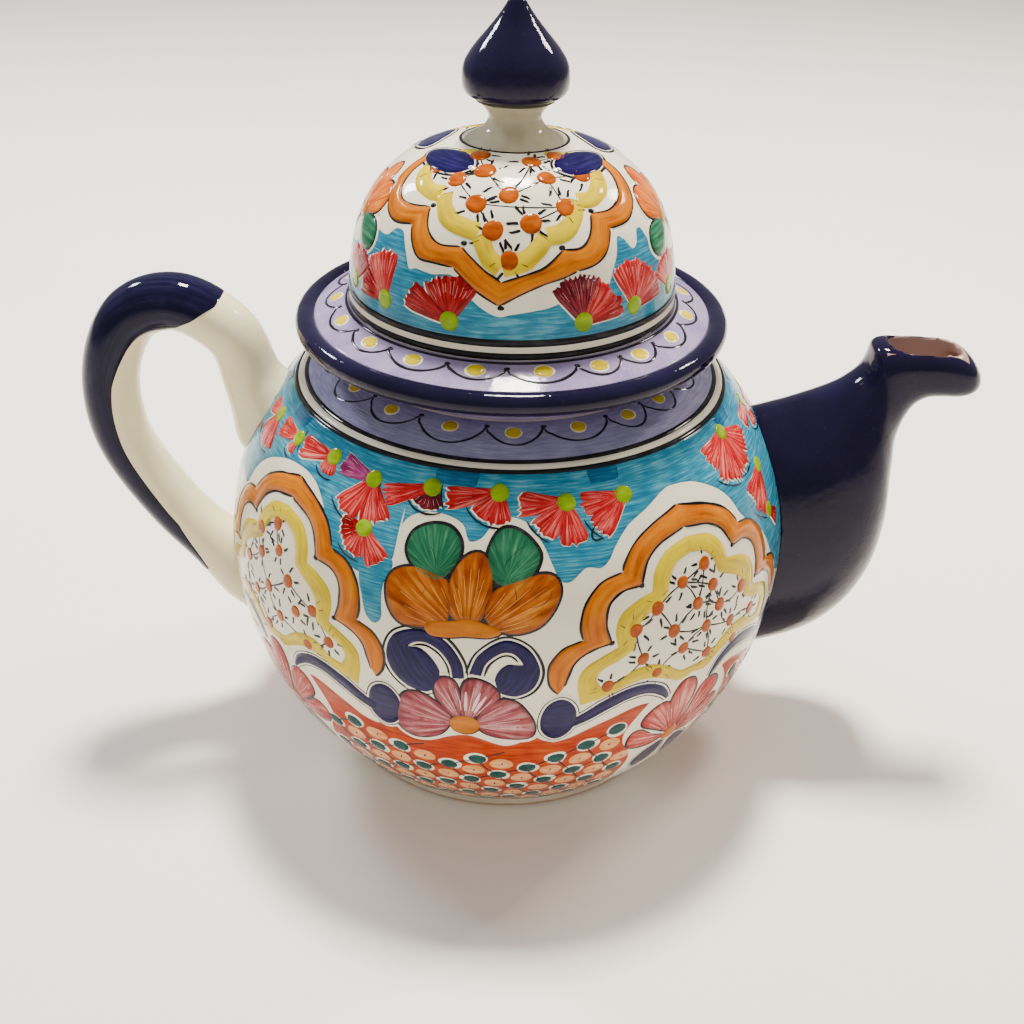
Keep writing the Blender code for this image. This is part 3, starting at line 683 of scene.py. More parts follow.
class Painter:
    """Lays closed coats of pigment on one ware."""

    def __init__(self, ware: object, prefix: str, rng: np.random.Generator) -> None:
        """Start with clean ware.

        Args:
            ware: Anything with place() and per_degree().
            prefix: Start of the painted pieces' names.
            rng: Source of the hand's variation.
        """
        self.ware = ware
        self.prefix = prefix
        self.rng = rng
        self.coats: dict[Pigment, Coat] = {}
        self.laid = 0

    def coat(self, pigment: Pigment) -> Coat:
        """The coat that a pigment goes on."""
        return self.coats.setdefault(pigment, Coat())

    def lift(self, layer: Layer) -> float:
        """Height of the next shape on a layer: shapes that overlap lie a hair above each other."""
        self.laid += 1
        return layer.value + 0.007 * (self.laid % 3)

    def spread(self, centre: tuple, points: np.ndarray) -> np.ndarray:
        """Chart places of points given in mm round a centre (degrees, mm)."""
        scale = self.ware.per_degree(centre[1])
        return np.asarray(points, float) / (scale, 1.0) + centre

    def pad(self, pigment: Pigment, outline: np.ndarray, layer: Layer, hub: tuple | None = None,
            grow: float = 0.0) -> None:
        """A filled shape: rings that shrink towards its middle, and a fan that closes it beneath.

        Args:
            pigment: What it is painted with.
            outline: Chart places (degrees, mm) round a shape that its middle sees all of.
            layer: How high the coat lies.
            hub: Where its brush marks meet; without one they run round the ware.
            grow: How much wider than the outline it is painted, mm.
        """
        scale = self.ware.per_degree(float(outline[:, 1].mean()))
        flat = outline * (scale, 1.0)
        flat = flat[::-1] if signed_area(flat) < 0.0 else flat
        round_it = length_of(np.vstack([flat, flat[:1]]))
        flat = evenly(flat, int(np.clip(round_it / 1.1, 12, 160)), closed=True)
        grow += EDGE_LOSS
        if grow:
            heading = np.roll(flat, -1, axis=0) - np.roll(flat, 1, axis=0)
            heading /= np.linalg.norm(heading, axis=1)[:, None] + 1e-9
            flat = flat + grow * np.stack([heading[:, 1], -heading[:, 0]], axis=1)
        middle = flat.mean(axis=0)
        reach = float(np.linalg.norm(flat - middle, axis=1).max())
        shares = np.linspace(0.0, 1.0, max(2, math.ceil(reach / CELL)) + 1)[1:]
        if reach > 1.2:
            shares = np.concatenate([shares[:-1], [1.0 - 0.25 / reach, 1.0]])
        rings = middle + shares[:, None, None] * (flat - middle)
        lifted = self.lift(layer)
        lifts = np.where(shares < 1.0, lifted, SUNK)[:, None]
        rows, columns = rings.shape[:2]
        chart = rings / (scale, 1.0)
        top = self.ware.place(chart[..., 0], chart[..., 1], lifts).reshape(-1, 3)
        ends = np.vstack([middle, middle]) / (scale, 1.0)
        caps = self.ware.place(ends[:, 0], ends[:, 1], np.array([lifted, 3.0 * SUNK]))
        every = np.vstack([rings.reshape(-1, 2), middle, middle])
        number = float(self.rng.uniform(0.0, 40.0))
        if hub is None:
            marks = every
        else:
            away = every - np.asarray(hub) * (scale, 1.0)
            marks = np.stack([np.linalg.norm(away, axis=1),
                              9.0 * np.arctan2(away[:, 0], np.abs(away[:, 1]) + 0.3)], axis=1)
        brush = np.column_stack([marks, np.full(len(every), number)])
        rim = np.concatenate([np.repeat(shares, columns), [0.0, 1.0]])
        quads = grid_faces(rows, columns, False, True)[:, ::-1]
        self.coat(pigment).add(np.vstack([top, caps]), brush, rim, quads, end_fans(rows, columns)[:, ::-1])

    def strip(self, pigment: Pigment, one: np.ndarray, other: np.ndarray, layer: Layer,
              wrap: bool = False, ribs: int = 0, level: bool = False) -> None:
        """A stroke between two edges: a grid across it, closed by a flat sheet beneath.

        Args:
            pigment: What it is painted with.
            one: Chart places along one edge.
            other: As many places along the other edge.
            layer: How high the coat lies.
            wrap: Whether the stroke runs into its own start.
            ribs: Cells across; without it they follow from the width.
            level: Whether its brush marks run round the ware instead of along it.
        """
        lifted = self.lift(layer)
        scale = self.ware.per_degree(float((one[:, 1].mean() + other[:, 1].mean()) / 2.0))
        a, b = one * (scale, 1.0), other * (scale, 1.0)
        if signed_area(np.vstack([a, b[::-1]])) < 0.0:
            a, b = b, a
        width = np.linalg.norm(b - a, axis=1)
        ribs = ribs or max(3, math.ceil(float(width.max()) / CELL) + 1)
        inset = min(0.25, 0.22 / max(float(width.mean()), 0.1))
        across = np.concatenate([[0.0], np.linspace(inset, 1.0 - inset, ribs - 1), [1.0]])
        rows, columns = len(a), len(across)
        flat = a[:, None] * (1.0 - across[None, :, None]) + b[:, None] * across[None, :, None]
        lift = np.full((rows, columns), lifted)
        lift[:, [0, -1]] = SUNK
        if not wrap:
            lift[[0, -1]] = SUNK
        chart = flat / (scale, 1.0)
        points = self.ware.place(chart[..., 0], chart[..., 1], lift).reshape(-1, 3)
        middle = (a + b) / 2.0
        along = np.concatenate([[0.0], np.cumsum(np.linalg.norm(np.diff(middle, axis=0), axis=1))])
        number = float(self.rng.uniform(0.0, 40.0))
        marks = np.stack(np.broadcast_arrays(along[:, None], (across - 0.5) * width[:, None]), axis=-1)
        marks = flat if level else marks
        brush = np.column_stack([marks.reshape(-1, 2), np.full(rows * columns, number)])
        rim = np.broadcast_to(np.abs(2.0 * across - 1.0), (rows, columns)).ravel()
        quads = grid_faces(rows, columns, wrap, False)
        k = np.arange(rows if wrap else rows - 1)
        after = (k + 1) % rows
        last = columns - 1
        under = np.stack([k * columns, after * columns, after * columns + last, k * columns + last], axis=1)
        tris = np.empty((0, 3), int)
        if not wrap:
            c = np.arange(1, last)
            start = np.stack([np.zeros_like(c), c, c + 1], axis=1)
            base = (rows - 1) * columns
            end = np.stack([np.full_like(c, base), base + c + 1, base + c], axis=1)
            tris = np.vstack([start, end])
        self.coat(pigment).add(points, brush, rim, np.vstack([quads, under[:, ::-1]])[:, ::-1], tris[:, ::-1])

    def stroke(self, pigment: Pigment, path: np.ndarray, width: object, layer: Layer,
               closed: bool = False, unsteady: float = 0.25, taper: float = 0.0) -> None:
        """A brush line: its two edges lie half the width to each side of its path.

        Args:
            pigment: What it is painted with.
            path: Chart places along the line.
            width: Width in mm, one for all or one for each place.
            layer: How high the coat lies.
            closed: Whether the line runs into its own start.
            unsteady: Share by which the hand lets the width vary.
            taper: Share of the line, at each end, that thins to a point.
        """
        scale = self.ware.per_degree(float(path[:, 1].mean()))
        flat = path * (scale, 1.0)
        around = np.vstack([flat, flat[:1]]) if closed else flat
        count = int(np.clip(length_of(around) / 0.8, 5, 400))
        place = np.linspace(0.0, 1.0, len(path))
        widths = np.interp(np.linspace(0.0, 1.0, count), place, np.broadcast_to(width, len(path)))
        flat = evenly(flat, count, closed)
        heading = np.gradient(flat, axis=0)
        if closed:
            heading = np.roll(flat, -1, axis=0) - np.roll(flat, 1, axis=0)
        heading /= np.linalg.norm(heading, axis=1)[:, None] + 1e-9
        t = np.linspace(0.0, 1.0, count)
        widths = widths * (1.0 + unsteady * wobble(count, self.rng))
        if taper:
            widths = widths * np.clip(np.minimum(t, 1.0 - t) / taper, 0.12, 1.0) ** 0.7
        side = np.stack([heading[:, 1], -heading[:, 0]], axis=1) * (widths[:, None] / 2.0 + EDGE_LOSS)
        self.strip(pigment, (flat + side) / (scale, 1.0), (flat - side) / (scale, 1.0), layer, closed,
                   ribs=0 if float(widths.max()) > 1.2 else 2)

    def beside(self, path: np.ndarray, gap: float) -> np.ndarray:
        """A path beside a path.

        Args:
            path: Chart places.
            gap: Distance to its right, mm.

        Returns:
            As many chart places.
        """
        scale = self.ware.per_degree(float(path[:, 1].mean()))
        flat = path * (scale, 1.0)
        heading = np.gradient(flat, axis=0)
        heading /= np.linalg.norm(heading, axis=1)[:, None] + 1e-9
        return (flat + gap * np.stack([heading[:, 1], -heading[:, 0]], axis=1)) / (scale, 1.0)

    def rays(self, pigment: Pigment, hub: tuple, outline: np.ndarray, count: int, width: float,
             reach: tuple) -> None:
        """Thin strokes inside a petal, from its hub towards its outer edge.

        Args:
            pigment: What they are painted with.
            hub: Chart place that they point away from.
            outline: Chart places round the petal.
            count: How many strokes.
            width: Their width, mm.
            reach: Shares of the way to the edge between which they run.
        """
        scale = self.ware.per_degree(float(outline[:, 1].mean()))
        away = (outline - np.asarray(hub)) * (scale, 1.0)
        middle = away.mean(axis=0)
        far = away[away @ middle > 0.75 * float(middle @ middle)]
        turn = np.arctan2(far @ (-middle[1], middle[0]), far @ middle)
        order = np.argsort(turn)
        wanted = np.linspace(turn[order[0]] * 0.72, turn[order[-1]] * 0.72, count)
        lengths = np.interp(wanted, turn[order], np.linalg.norm(far, axis=1)[order])
        base = math.atan2(middle[1], middle[0])
        for angle, length in zip(wanted + base, lengths):
            shares = np.array(reach) * self.rng.uniform(0.92, 1.06, 2)
            ends = shares[:, None] * length * (math.cos(angle), math.sin(angle))
            bow = ends.mean(axis=0) + self.rng.uniform(-0.3, 0.3, 2)
            path = smooth_curve(np.vstack([ends[0], bow, ends[1]]) / (scale, 1.0) + hub, 5)
            self.stroke(pigment, path, width * self.rng.uniform(0.7, 1.3), Layer.MARK,
                        unsteady=0.3, taper=0.35)

    def keyed_pad(self, pigment: Pigment, outline: np.ndarray, hub: tuple | None = None,
                  key: float = 0.45, reveal: float = 0.0, halo: float = 0.0,
                  layer: Layer = Layer.FILL) -> None:
        """A filled shape with a black line round it, and white beyond or between if wanted.

        Args:
            pigment: What the shape is painted with.
            outline: Chart places round it.
            hub: Where its brush marks meet.
            key: Width of the black line, mm.
            reveal: Width of white left between the shape and the line, mm.
            halo: Width of white kept outside the line, mm.
            layer: How high the shape lies.
        """
        if halo:
            self.pad(RESERVE, outline, Layer.HALO, grow=reveal + key + halo)
        if key:
            across = self.ware.per_degree(float(outline[:, 1].mean()))
            drift = self.rng.uniform(-0.12, 0.12, 2) / (across, 1.0)
            self.pad(INK, outline + drift, Layer.KEYLINE, grow=reveal + key)
        if reveal:
            self.pad(RESERVE, outline, Layer.REVEAL, grow=reveal)
        self.pad(pigment, outline, layer, hub)

    def oval(self, centre: tuple, half_x: float, half_y: float, ragged: float = 0.06) -> np.ndarray:
        """An oval, slightly out of true.

        Args:
            centre: Chart place.
            half_x: Half width, mm.
            half_y: Half height, mm.
            ragged: Share by which it varies.

        Returns:
            Chart places round it.
        """
        angle = np.arange(28) * 2.0 * np.pi / 28
        unsteady = 1.0 + ragged * wobble(29, self.rng, 3)[:-1]
        around = np.stack([half_x * np.cos(angle), half_y * np.sin(angle)], axis=1) * unsteady[:, None]
        return self.spread(centre, around)

    def ring(self, pigment: Pigment, low: float, high: float, layer: Layer, unsteady: float = 0.12) -> None:
        """A band right round the ware.

        Args:
            pigment: What it is painted with.
            low: Lower edge, mm up the ware.
            high: Upper edge.
            layer: How high it lies.
            unsteady: How far its edges stray, mm.
        """
        theta = np.linspace(-180.0, 180.0, 361)[:-1]
        edges = [level + unsteady * wobble(361, self.rng, 9)[:-1] for level in (low, high)]
        self.strip(pigment, np.stack([theta, edges[0]], axis=1), np.stack([theta, edges[1]], axis=1),
                   layer, wrap=True)

    def pieces(self, body: str, slot: str) -> list[bpy.types.Object]:
        """The painted coats as dressed objects that ride with a body.

        Args:
            body: The body's name.
            slot: The record's material slot.

        Returns:
            One object for each pigment.
        """
        made = []
        for pigment, coat in self.coats.items():
            obj = coat.piece(f"{self.prefix}_{pigment.name}")
            dress(obj, pigment, body, slot)
            made.append(obj)
        return made


def dress(obj: bpy.types.Object, finish: object, body: str, slot: str, *nodes: str) -> None:
    """Give a piece its finish, hang it on its body and hide the solids that it stands for.

    Args:
        obj: The piece.
        finish: Its glaze or pigment.
        body: The body that it rides with.
        slot: Not used.
        *nodes: The solids that it stands for.
    """
    obj.data.materials.append(finish.material())
    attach(obj, body)
    if nodes:
        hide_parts(*nodes)
    LOG.info("%s: %d faces on %s", obj.name, len(obj.data.polygons), body)


# ---- motifs -------------------------------------------------------------------------------------
def petal_outline(length: float, half_width: float, turn: float, root: float = 0.25) -> np.ndarray:
    """A petal's outline in mm from its base at (0, 0): narrow at the base, broad past the middle.

    Args:
        length: From base to tip.
        half_width: At its broadest.
        turn: Direction of the tip, degrees from +x towards +y.
        root: Width of the base as a share of the broadest.

    Returns:
        Points round the petal.
    """
    side = [(0.0, root), (0.25, 0.62), (0.62, 1.0), (0.88, 0.74)]
    knots = [(u * length, w * half_width) for u, w in side] + [(length, 0.0)]
    knots += [(u * length, -w * half_width) for u, w in reversed(side)]
    shape = smooth_curve(knots, 4, closed=True)
    c, s = math.cos(math.radians(turn)), math.sin(math.radians(turn))
    return shape @ np.array([[c, s], [-s, c]])


def mirrored(points: list, axis: float, flip: bool) -> np.ndarray:
    """Chart places from rows (degrees from an axis, mm), turned over if flipped."""
    rows = np.asarray(points, float)
    return rows * ((-1.0 if flip else 1.0), 1.0) + (axis, 0.0)


def whiskered_dot(painter: Painter, centre: tuple, radius: float, count: int = 6) -> None:
    """A rust dot with thin black whiskers that curl away from it.

    Args:
        painter: Who paints it.
        centre: Chart place.
        radius: Of the dot, mm.
        count: How many whiskers.
    """
    painter.pad(BERRY, painter.oval(centre, radius, radius, 0.12), Layer.MARK)
    turn = painter.rng.uniform(0.0, 360.0)
    for i in range(count):
        angle = math.radians(turn + i * 360.0 / count + painter.rng.uniform(-16.0, 16.0))
        length = radius + painter.rng.uniform(2.4, 4.4)
        bend = painter.rng.uniform(-0.5, 0.5)
        knots = [(share * length * math.cos(angle + bend * share),
                  share * length * math.sin(angle + bend * share))
                 for share in (0.5, 0.7, 0.85, 1.0)]
        path = smooth_curve(painter.spread(centre, knots), 3)
        painter.stroke(INK, path, np.linspace(0.80, 0.44, len(path)), Layer.LINE, unsteady=0.2)


def lobed(lobes: list, per_lobe: int = 18) -> np.ndarray:
    """Chart places along a row of smooth brush lobes that meet at cusps."""
    runs = [evenly(smooth_curve(lobe, 6), per_lobe) for lobe in lobes]
    return np.vstack([runs[0]] + [run[1:] for run in runs[1:]])


@dataclass
class Motif:
    """Something painted round an axis, with its places in degrees from that axis and mm."""

    painter: Painter
    axis: float

    def at(self, points: list, flip: bool = False) -> np.ndarray:
        """Chart places of points beside the axis, turned over if flipped."""
        return mirrored(points, self.axis, flip)

    def shape(self, points: list) -> np.ndarray:
        """A smooth closed outline through points beside the axis."""
        return smooth_curve(self.at(points), 5, closed=True)

    def mark(self, points: list, width: float, taper: float) -> None:
        """Draw a short black line through points beside the axis."""
        self.painter.stroke(INK, smooth_curve(self.at(points), 4), width, Layer.MARK, taper=taper)


@dataclass
class Cartouche(Motif):
    """The big lobed frame with a net of whiskered dots, and the scrolls and flower beneath it.

    All outlines are for its left half: degrees from its axis (negative) and mm up the ware.
    """

    dots: list = field(default_factory=list)
    narrow: float = 1.0           # share of the full width
    outer: list = field(default_factory=lambda: [
        [(0, 116.4), (-7.5, 113.3), (-12.3, 109.6), (-14.6, 105.5), (-15.3, 103.4)],
        [(-15.3, 103.4), (-19.8, 101.6), (-23.0, 96.5), (-24.0, 91.0), (-23.7, 86.8)],
        [(-23.7, 86.8), (-27.4, 84.8), (-29.7, 80.0), (-29.6, 74.5), (-27.9, 70.8)]])
    inner: list = field(default_factory=lambda: [
        [(0, 110.2), (-6.2, 108.3), (-9.6, 105.2), (-11.1, 101.5), (-11.8, 98.8)],
        [(-11.8, 98.8), (-15.8, 98.4), (-18.6, 95.4), (-19.3, 90.0), (-18.4, 84.8)],
        [(-18.4, 84.8), (-22.2, 83.5), (-25.0, 80.8), (-26.2, 77.0), (-27.0, 73.0)]])
    yellow_outer: list = field(default_factory=lambda: [
        [(0, 107.6), (-5.6, 105.8), (-8.8, 101.5), (-9.8, 96.4)],
        [(-9.8, 96.4), (-13.0, 95.2), (-16.4, 92.4), (-17.6, 88.0), (-17.2, 83.0)],
        [(-17.2, 83.0), (-20.2, 81.2), (-23.5, 78.4), (-24.6, 73.5), (-23.8, 66.0)],
        [(-23.8, 66.0), (-18.5, 68.0), (-13.5, 70.4), (-9.5, 69.8), (-5.8, 67.2), (-3.0, 65.0), (0, 66.2)]])
    yellow_inner: list = field(default_factory=lambda: [
        [(0, 103.0), (-3.6, 101.6), (-5.6, 98.0), (-6.3, 94.2)],
        [(-6.3, 94.2), (-8.8, 92.0), (-11.8, 89.6), (-13.4, 86.6), (-13.8, 81.5)],
        [(-13.8, 81.5), (-16.8, 79.0), (-19.8, 77.2), (-21.0, 74.4), (-20.0, 71.2)],
        [(-20.0, 71.2), (-17.0, 72.0), (-14.2, 74.6), (-10.4, 75.0), (-6.6, 72.6), (-3.4, 69.0), (0, 68.6)]])

    def paint(self) -> None:
        """Paint the frame, the net, the scrolls and the flower."""
        painter = self.painter
        edges = []
        for lobes in (self.outer, self.inner):
            left, right = (lobed([self.half(lobe, flip) for lobe in lobes], 26) for flip in (False, True))
            edges.append(np.vstack([left[:0:-1], right]))
        painter.strip(ORANGE, edges[0], edges[1], Layer.FILL)
        for lobe in self.outer + self.inner:
            for flip in (False, True):
                painter.stroke(INK, smooth_curve(self.half(lobe, flip), 6), 0.75, Layer.LINE,
                               unsteady=0.5, taper=0.05)
        for hook in (self.inner[0][-1], self.inner[1][-1]):
            for flip in (False, True):
                spot = self.half([hook], flip)[0]
                painter.pad(INK, painter.oval(tuple(spot), 0.95, 0.7, 0.2), Layer.LINE)
        edges = []
        for lobes in (self.yellow_outer, self.yellow_inner):
            left, right = (lobed([self.half(lobe, flip) for lobe in lobes]) for flip in (False, True))
            edges.append(np.vstack([left, right[-2:0:-1]]))
        painter.strip(YELLOW, edges[0], edges[1], Layer.FILL, wrap=True)
        for offset, s in self.dots:
            whiskered_dot(painter, (self.axis + offset * self.narrow, s), painter.rng.uniform(1.7, 2.15),
                          int(painter.rng.integers(5, 8)))
        self.paint_links()
        for flip in (False, True):
            self.paint_scroll(flip)
        self.paint_flower()

    def paint_links(self) -> None:
        """Thin curved lines between neighbouring dots."""
        painter = self.painter
        places = np.array(self.dots) * (self.narrow, 1.0) + (self.axis, 0.0)
        scale = painter.ware.per_degree(80.0)
        for i, first in enumerate(places):
            for second in places[i + 1:]:
                apart = (second - first) * (scale, 1.0)
                size = float(np.linalg.norm(apart))
                if size > 12.5 or painter.rng.uniform() < 0.30:
                    continue
                bow = np.array([-apart[1], apart[0]]) / size * painter.rng.uniform(-1.2, 1.2)
                middle = (first + second) / 2.0 + bow / (scale, 1.0)
                painter.stroke(INK, smooth_curve([first, middle, second], 5), 0.42,
                               Layer.KEYLINE, unsteady=0.4)

    def half(self, points: list, flip: bool) -> np.ndarray:
        """Chart places of points given for the left half, turned over if flipped."""
        return mirrored(np.asarray(points, float) * (self.narrow, 1.0), self.axis, flip)

    def paint_scroll(self, flip: bool) -> None:
        """A navy drop with a tail that runs under the frame to the flower.

        Args:
            flip: Whether it is the right-hand one.
        """
        painter = self.painter
        tail = smooth_curve(mirrored([(-26.0, 59.0), (-22.5, 61.4), (-19.0, 64.4), (-15.0, 66.6),
                                      (-11.5, 66.9), (-8.6, 65.4), (-6.6, 62.8), (-5.2, 59.6)],
                                     self.axis, flip), 6)
        widths = np.interp(np.linspace(0, 1, len(tail)), [0, 0.3, 0.6, 0.85, 1], [3.4, 4.4, 4.0, 3.0, 0.8])
        drop = painter.spread(tuple(self.at([(-27.6, 61.4)], flip)[0]),
                              smooth_curve([(4.9, 0.8), (3.6, 5.6), (0.2, 7.9), (-3.4, 5.8), (-5.0, 0.6),
                                            (-4.2, -4.6), (-0.6, -7.8), (3.4, -5.2)], 5, closed=True))
        for pigment, layer, wider in ((RESERVE, Layer.HALO, 1.5), (INK, Layer.KEYLINE, 0.85),
                                      (RESERVE, Layer.REVEAL, 0.5), (NAVY, Layer.FILL, 0.0)):
            painter.stroke(pigment, tail, widths + 2.0 * wider, layer, unsteady=0.04)
            painter.pad(pigment, drop, layer, grow=wider)

    def paint_flower(self) -> None:
        """The rose flower on its white reserve, with two navy leaves beneath."""
        painter = self.painter
        reserve = [(-13.3, 51.5), (-13.2, 45), (-11.0, 39.5), (-9.6, 32), (-9.8, 20), (-8.6, 5.0),
                   (8.6, 5.0), (9.8, 20), (9.6, 32), (11.0, 39.5), (13.2, 45), (12.8, 52), (9.5, 60.5),
                   (4.5, 65), (0, 67.0), (-4.5, 66), (-9.5, 60.5)]
        painter.pad(RESERVE, self.shape(reserve), Layer.HALO)
        hub = (self.axis - 0.6, 40.0)
        petals = [
            [(1.0, 40.0), (4.4, 43.2), (8.0, 48.2), (10.6, 48.6), (11.8, 45.0), (10.8, 40.5), (7.6, 38.2),
             (4.0, 38.0)],
            [(-2.6, 40.4), (-6.0, 43.5), (-9.4, 48.4), (-11.4, 48.8), (-12.2, 45.2), (-11.4, 41.2),
             (-8, 38.6), (-4.4, 38.4)],
            [(-2.0, 42.2), (-5.6, 46.2), (-9.6, 50.6), (-9.6, 54.6), (-7.2, 57.8), (-4.6, 57.6), (-3.2, 51),
             (-1.4, 44)],
            [(0.4, 43.0), (2.2, 50.0), (3.4, 56.8), (5.8, 59.4), (8.6, 57.4), (9.2, 52.2), (5.6, 46.4),
             (1.8, 41.6)],
            [(-1.4, 42.0), (-3.6, 50.0), (-4.0, 58.0), (-2.6, 63.2), (-0.8, 64.2), (1.2, 62.8), (2.2, 57.4),
             (0.6, 48.0)],
        ]
        for petal in petals:
            outline = self.shape(petal)
            painter.keyed_pad(ROSE, outline, hub, key=0.55)
            painter.rays(SPARK_PINK, hub, outline, 4, 0.6, (0.35, 0.86))
        for side in (-1.0, 1.0):
            vein = smooth_curve([(self.axis + side * 2.6, 45), (self.axis + side * 5.4, 49),
                                 (self.axis + side * 8.2, 52.5)], 5)
            painter.stroke(INK, vein, 0.4, Layer.MARK, taper=0.4)
            leaf = [(1.2, 36.6), (3.6, 36.4), (6.6, 33.0), (7.4, 27.0), (5.2, 22.0), (2.4, 23.6), (1.0, 30.0)]
            outline = smooth_curve(mirrored(leaf, self.axis, side < 0.0), 5, closed=True)
            painter.keyed_pad(NAVY, outline, key=0.35, reveal=0.35)
        painter.pad(MUSTARD, painter.oval(hub, 3.0, 3.3), Layer.MARK)


@dataclass
class Bouquet(Motif):
    """The flower between two cartouches: leaves, rust petals, volutes and a pink flower."""

    def paint(self) -> None:
        """Paint the whole motif from the back layers to the front."""
        self.paint_leaves()
        self.paint_rust_petals()
        self.paint_volutes()
        self.paint_pink_flower()

    def paint_leaves(self) -> None:
        """Two round dark green leaves with a centre vein."""
        painter = self.painter
        left = [(-12.6, 110.5), (-11.6, 114.2), (-8.4, 116.6), (-4.6, 116.6), (-2.2, 113.6), (-2.0, 109.5),
                (-3.6, 105.2), (-5.8, 102.8), (-9.6, 104.4), (-12.0, 107.4)]
        right = [(3.4, 108.0), (3.6, 112.0), (5.2, 116.2), (7.4, 117.4), (10.4, 115.8), (13.0, 111.8),
                 (13.2, 108.8), (11.4, 104.8), (8.0, 102.4), (4.8, 103.6)]
        for outline, vein in ((left, [(-6.2, 104.6), (-6.9, 108.6), (-8.2, 111.6)]),
                              (right, [(7.0, 104.4), (6.6, 108.0), (8.6, 111.4), (10.8, 113.4)])):
            hub = tuple(mirrored([vein[0]], self.axis, False)[0])
            painter.keyed_pad(LEAF, self.shape(outline), hub, key=0.75)
            painter.stroke(INK, smooth_curve(self.at(vein), 5), 0.6, Layer.MARK, taper=0.35)

    def paint_rust_petals(self) -> None:
        """Three streaked rust petals over a mustard bar."""
        painter = self.painter
        hub = (self.axis + 0.2, 88.5)
        left = [(-3.6, 91.4), (-6.4, 90.0), (-11.8, 89.6), (-14.6, 93.4), (-15.6, 99.4), (-14.2, 103.4),
                (-10.6, 105.2), (-6.6, 104.2), (-3.6, 102.6), (-3.0, 98.0)]
        right = [(4.0, 92.2), (8.0, 89.9), (12.6, 91.4), (15.4, 95.4), (17.0, 100.6), (16.2, 104.6),
                 (13.4, 105.6), (9.0, 103.8), (4.8, 101.4), (3.2, 96.8)]
        middle = [(-2.4, 93.2), (-3.6, 98.0), (-3.4, 103.4), (-1.8, 108.2), (0.6, 110.8), (2.8, 110.4),
                  (4.2, 106.6), (4.4, 101.4), (3.4, 96.8), (2.2, 93.0)]
        for outline in (left, right, middle):
            painter.keyed_pad(RUST, self.shape(outline), hub, key=0.65)
            painter.rays(SPARK_GOLD, hub, self.shape(outline), 7, 0.42, (0.35, 0.84))
        marks = [([(-2.6, 103.2), (-1.6, 101.4), (-1.2, 100.6)], 0.9), ([(2.8, 102.2), (1.8, 101.0),
                 (1.2, 100.6)], 0.9), ([(8.4, 103.2), (9.0, 100.4), (8.8, 98.2)], 1.1), ([(10.8, 97.0),
                 (13.0, 97.6), (14.8, 99.4), (15.4, 102)], 0.9), ([(-12.6, 95.4), (-11.0, 94.6),
                 (-9.8, 95.6)], 0.9), ([(-7.6, 101.6), (-8.0, 99.4), (-8.4, 97.8)], 0.6), ([(-4.2, 100.4),
                 (-3.4, 97.6), (-2.6, 95.4)], 0.8), ([(4.2, 99.8), (3.6, 97.2), (3.0, 95.2)], 0.8)]
        for points, width in marks:
            self.mark(points, width, 0.45)
        bar = [(-7.6, 90.2), (-6.4, 91.6), (-3.0, 92.4), (0.6, 93.4), (3.0, 92.6), (5.8, 91.2), (6.2, 90.0),
               (4.0, 88.8), (0, 88.7), (-3.6, 87.9), (-6.6, 88.0)]
        painter.keyed_pad(MUSTARD, self.shape(bar), key=0.35, layer=Layer.MARK)

    def paint_volutes(self) -> None:
        """Two navy scrolls: each a stroke that arches over and curls in to a broad rounded end."""
        painter = self.painter
        left = ([(0.0, 75.6), (-0.7, 81.2), (-3.6, 86.8), (-8.3, 89.0), (-13.0, 86.4), (-14.6, 80.5),
                 (-13.6, 75.0), (-10.8, 70.9), (-7.4, 69.8), (-5.0, 72.0)],
                [(-2.2, 75.4), (-2.7, 79.6), (-4.4, 83.3), (-6.9, 85.3), (-9.2, 84.9), (-10.4, 83.2),
                 (-8.2, 83.7), (-5.9, 81.2), (-4.4, 77.2), (-4.7, 72.8)])
        right = ([(0.6, 77.4), (2.4, 83.8), (6.8, 88.2), (11.0, 85.8), (13.2, 79.4), (12.2, 73.6),
                  (9.2, 70.8), (6.2, 71.8)],
                 [(2.8, 77.0), (3.8, 81.2), (6.2, 84.2), (8.4, 84.2), (10.0, 81.6), (9.8, 80.4), (7.6, 81.2),
                  (5.9, 79.2), (5.2, 76.0), (5.9, 72.6)])
        for shape, side in ((left, 1.0), (right, -1.0)):
            outer, inner = (evenly(smooth_curve(self.at(edge), 6), 60) for edge in shape)
            painter.strip(NAVY, outer, inner, Layer.FILL)
            painter.stroke(INK, painter.beside(outer, 0.85 * side), 0.6, Layer.MARK, unsteady=0.4, taper=0.05)
            painter.stroke(INK, painter.beside(inner[:30], -0.75 * side), 0.5, Layer.MARK,
                           unsteady=0.4, taper=0.1)

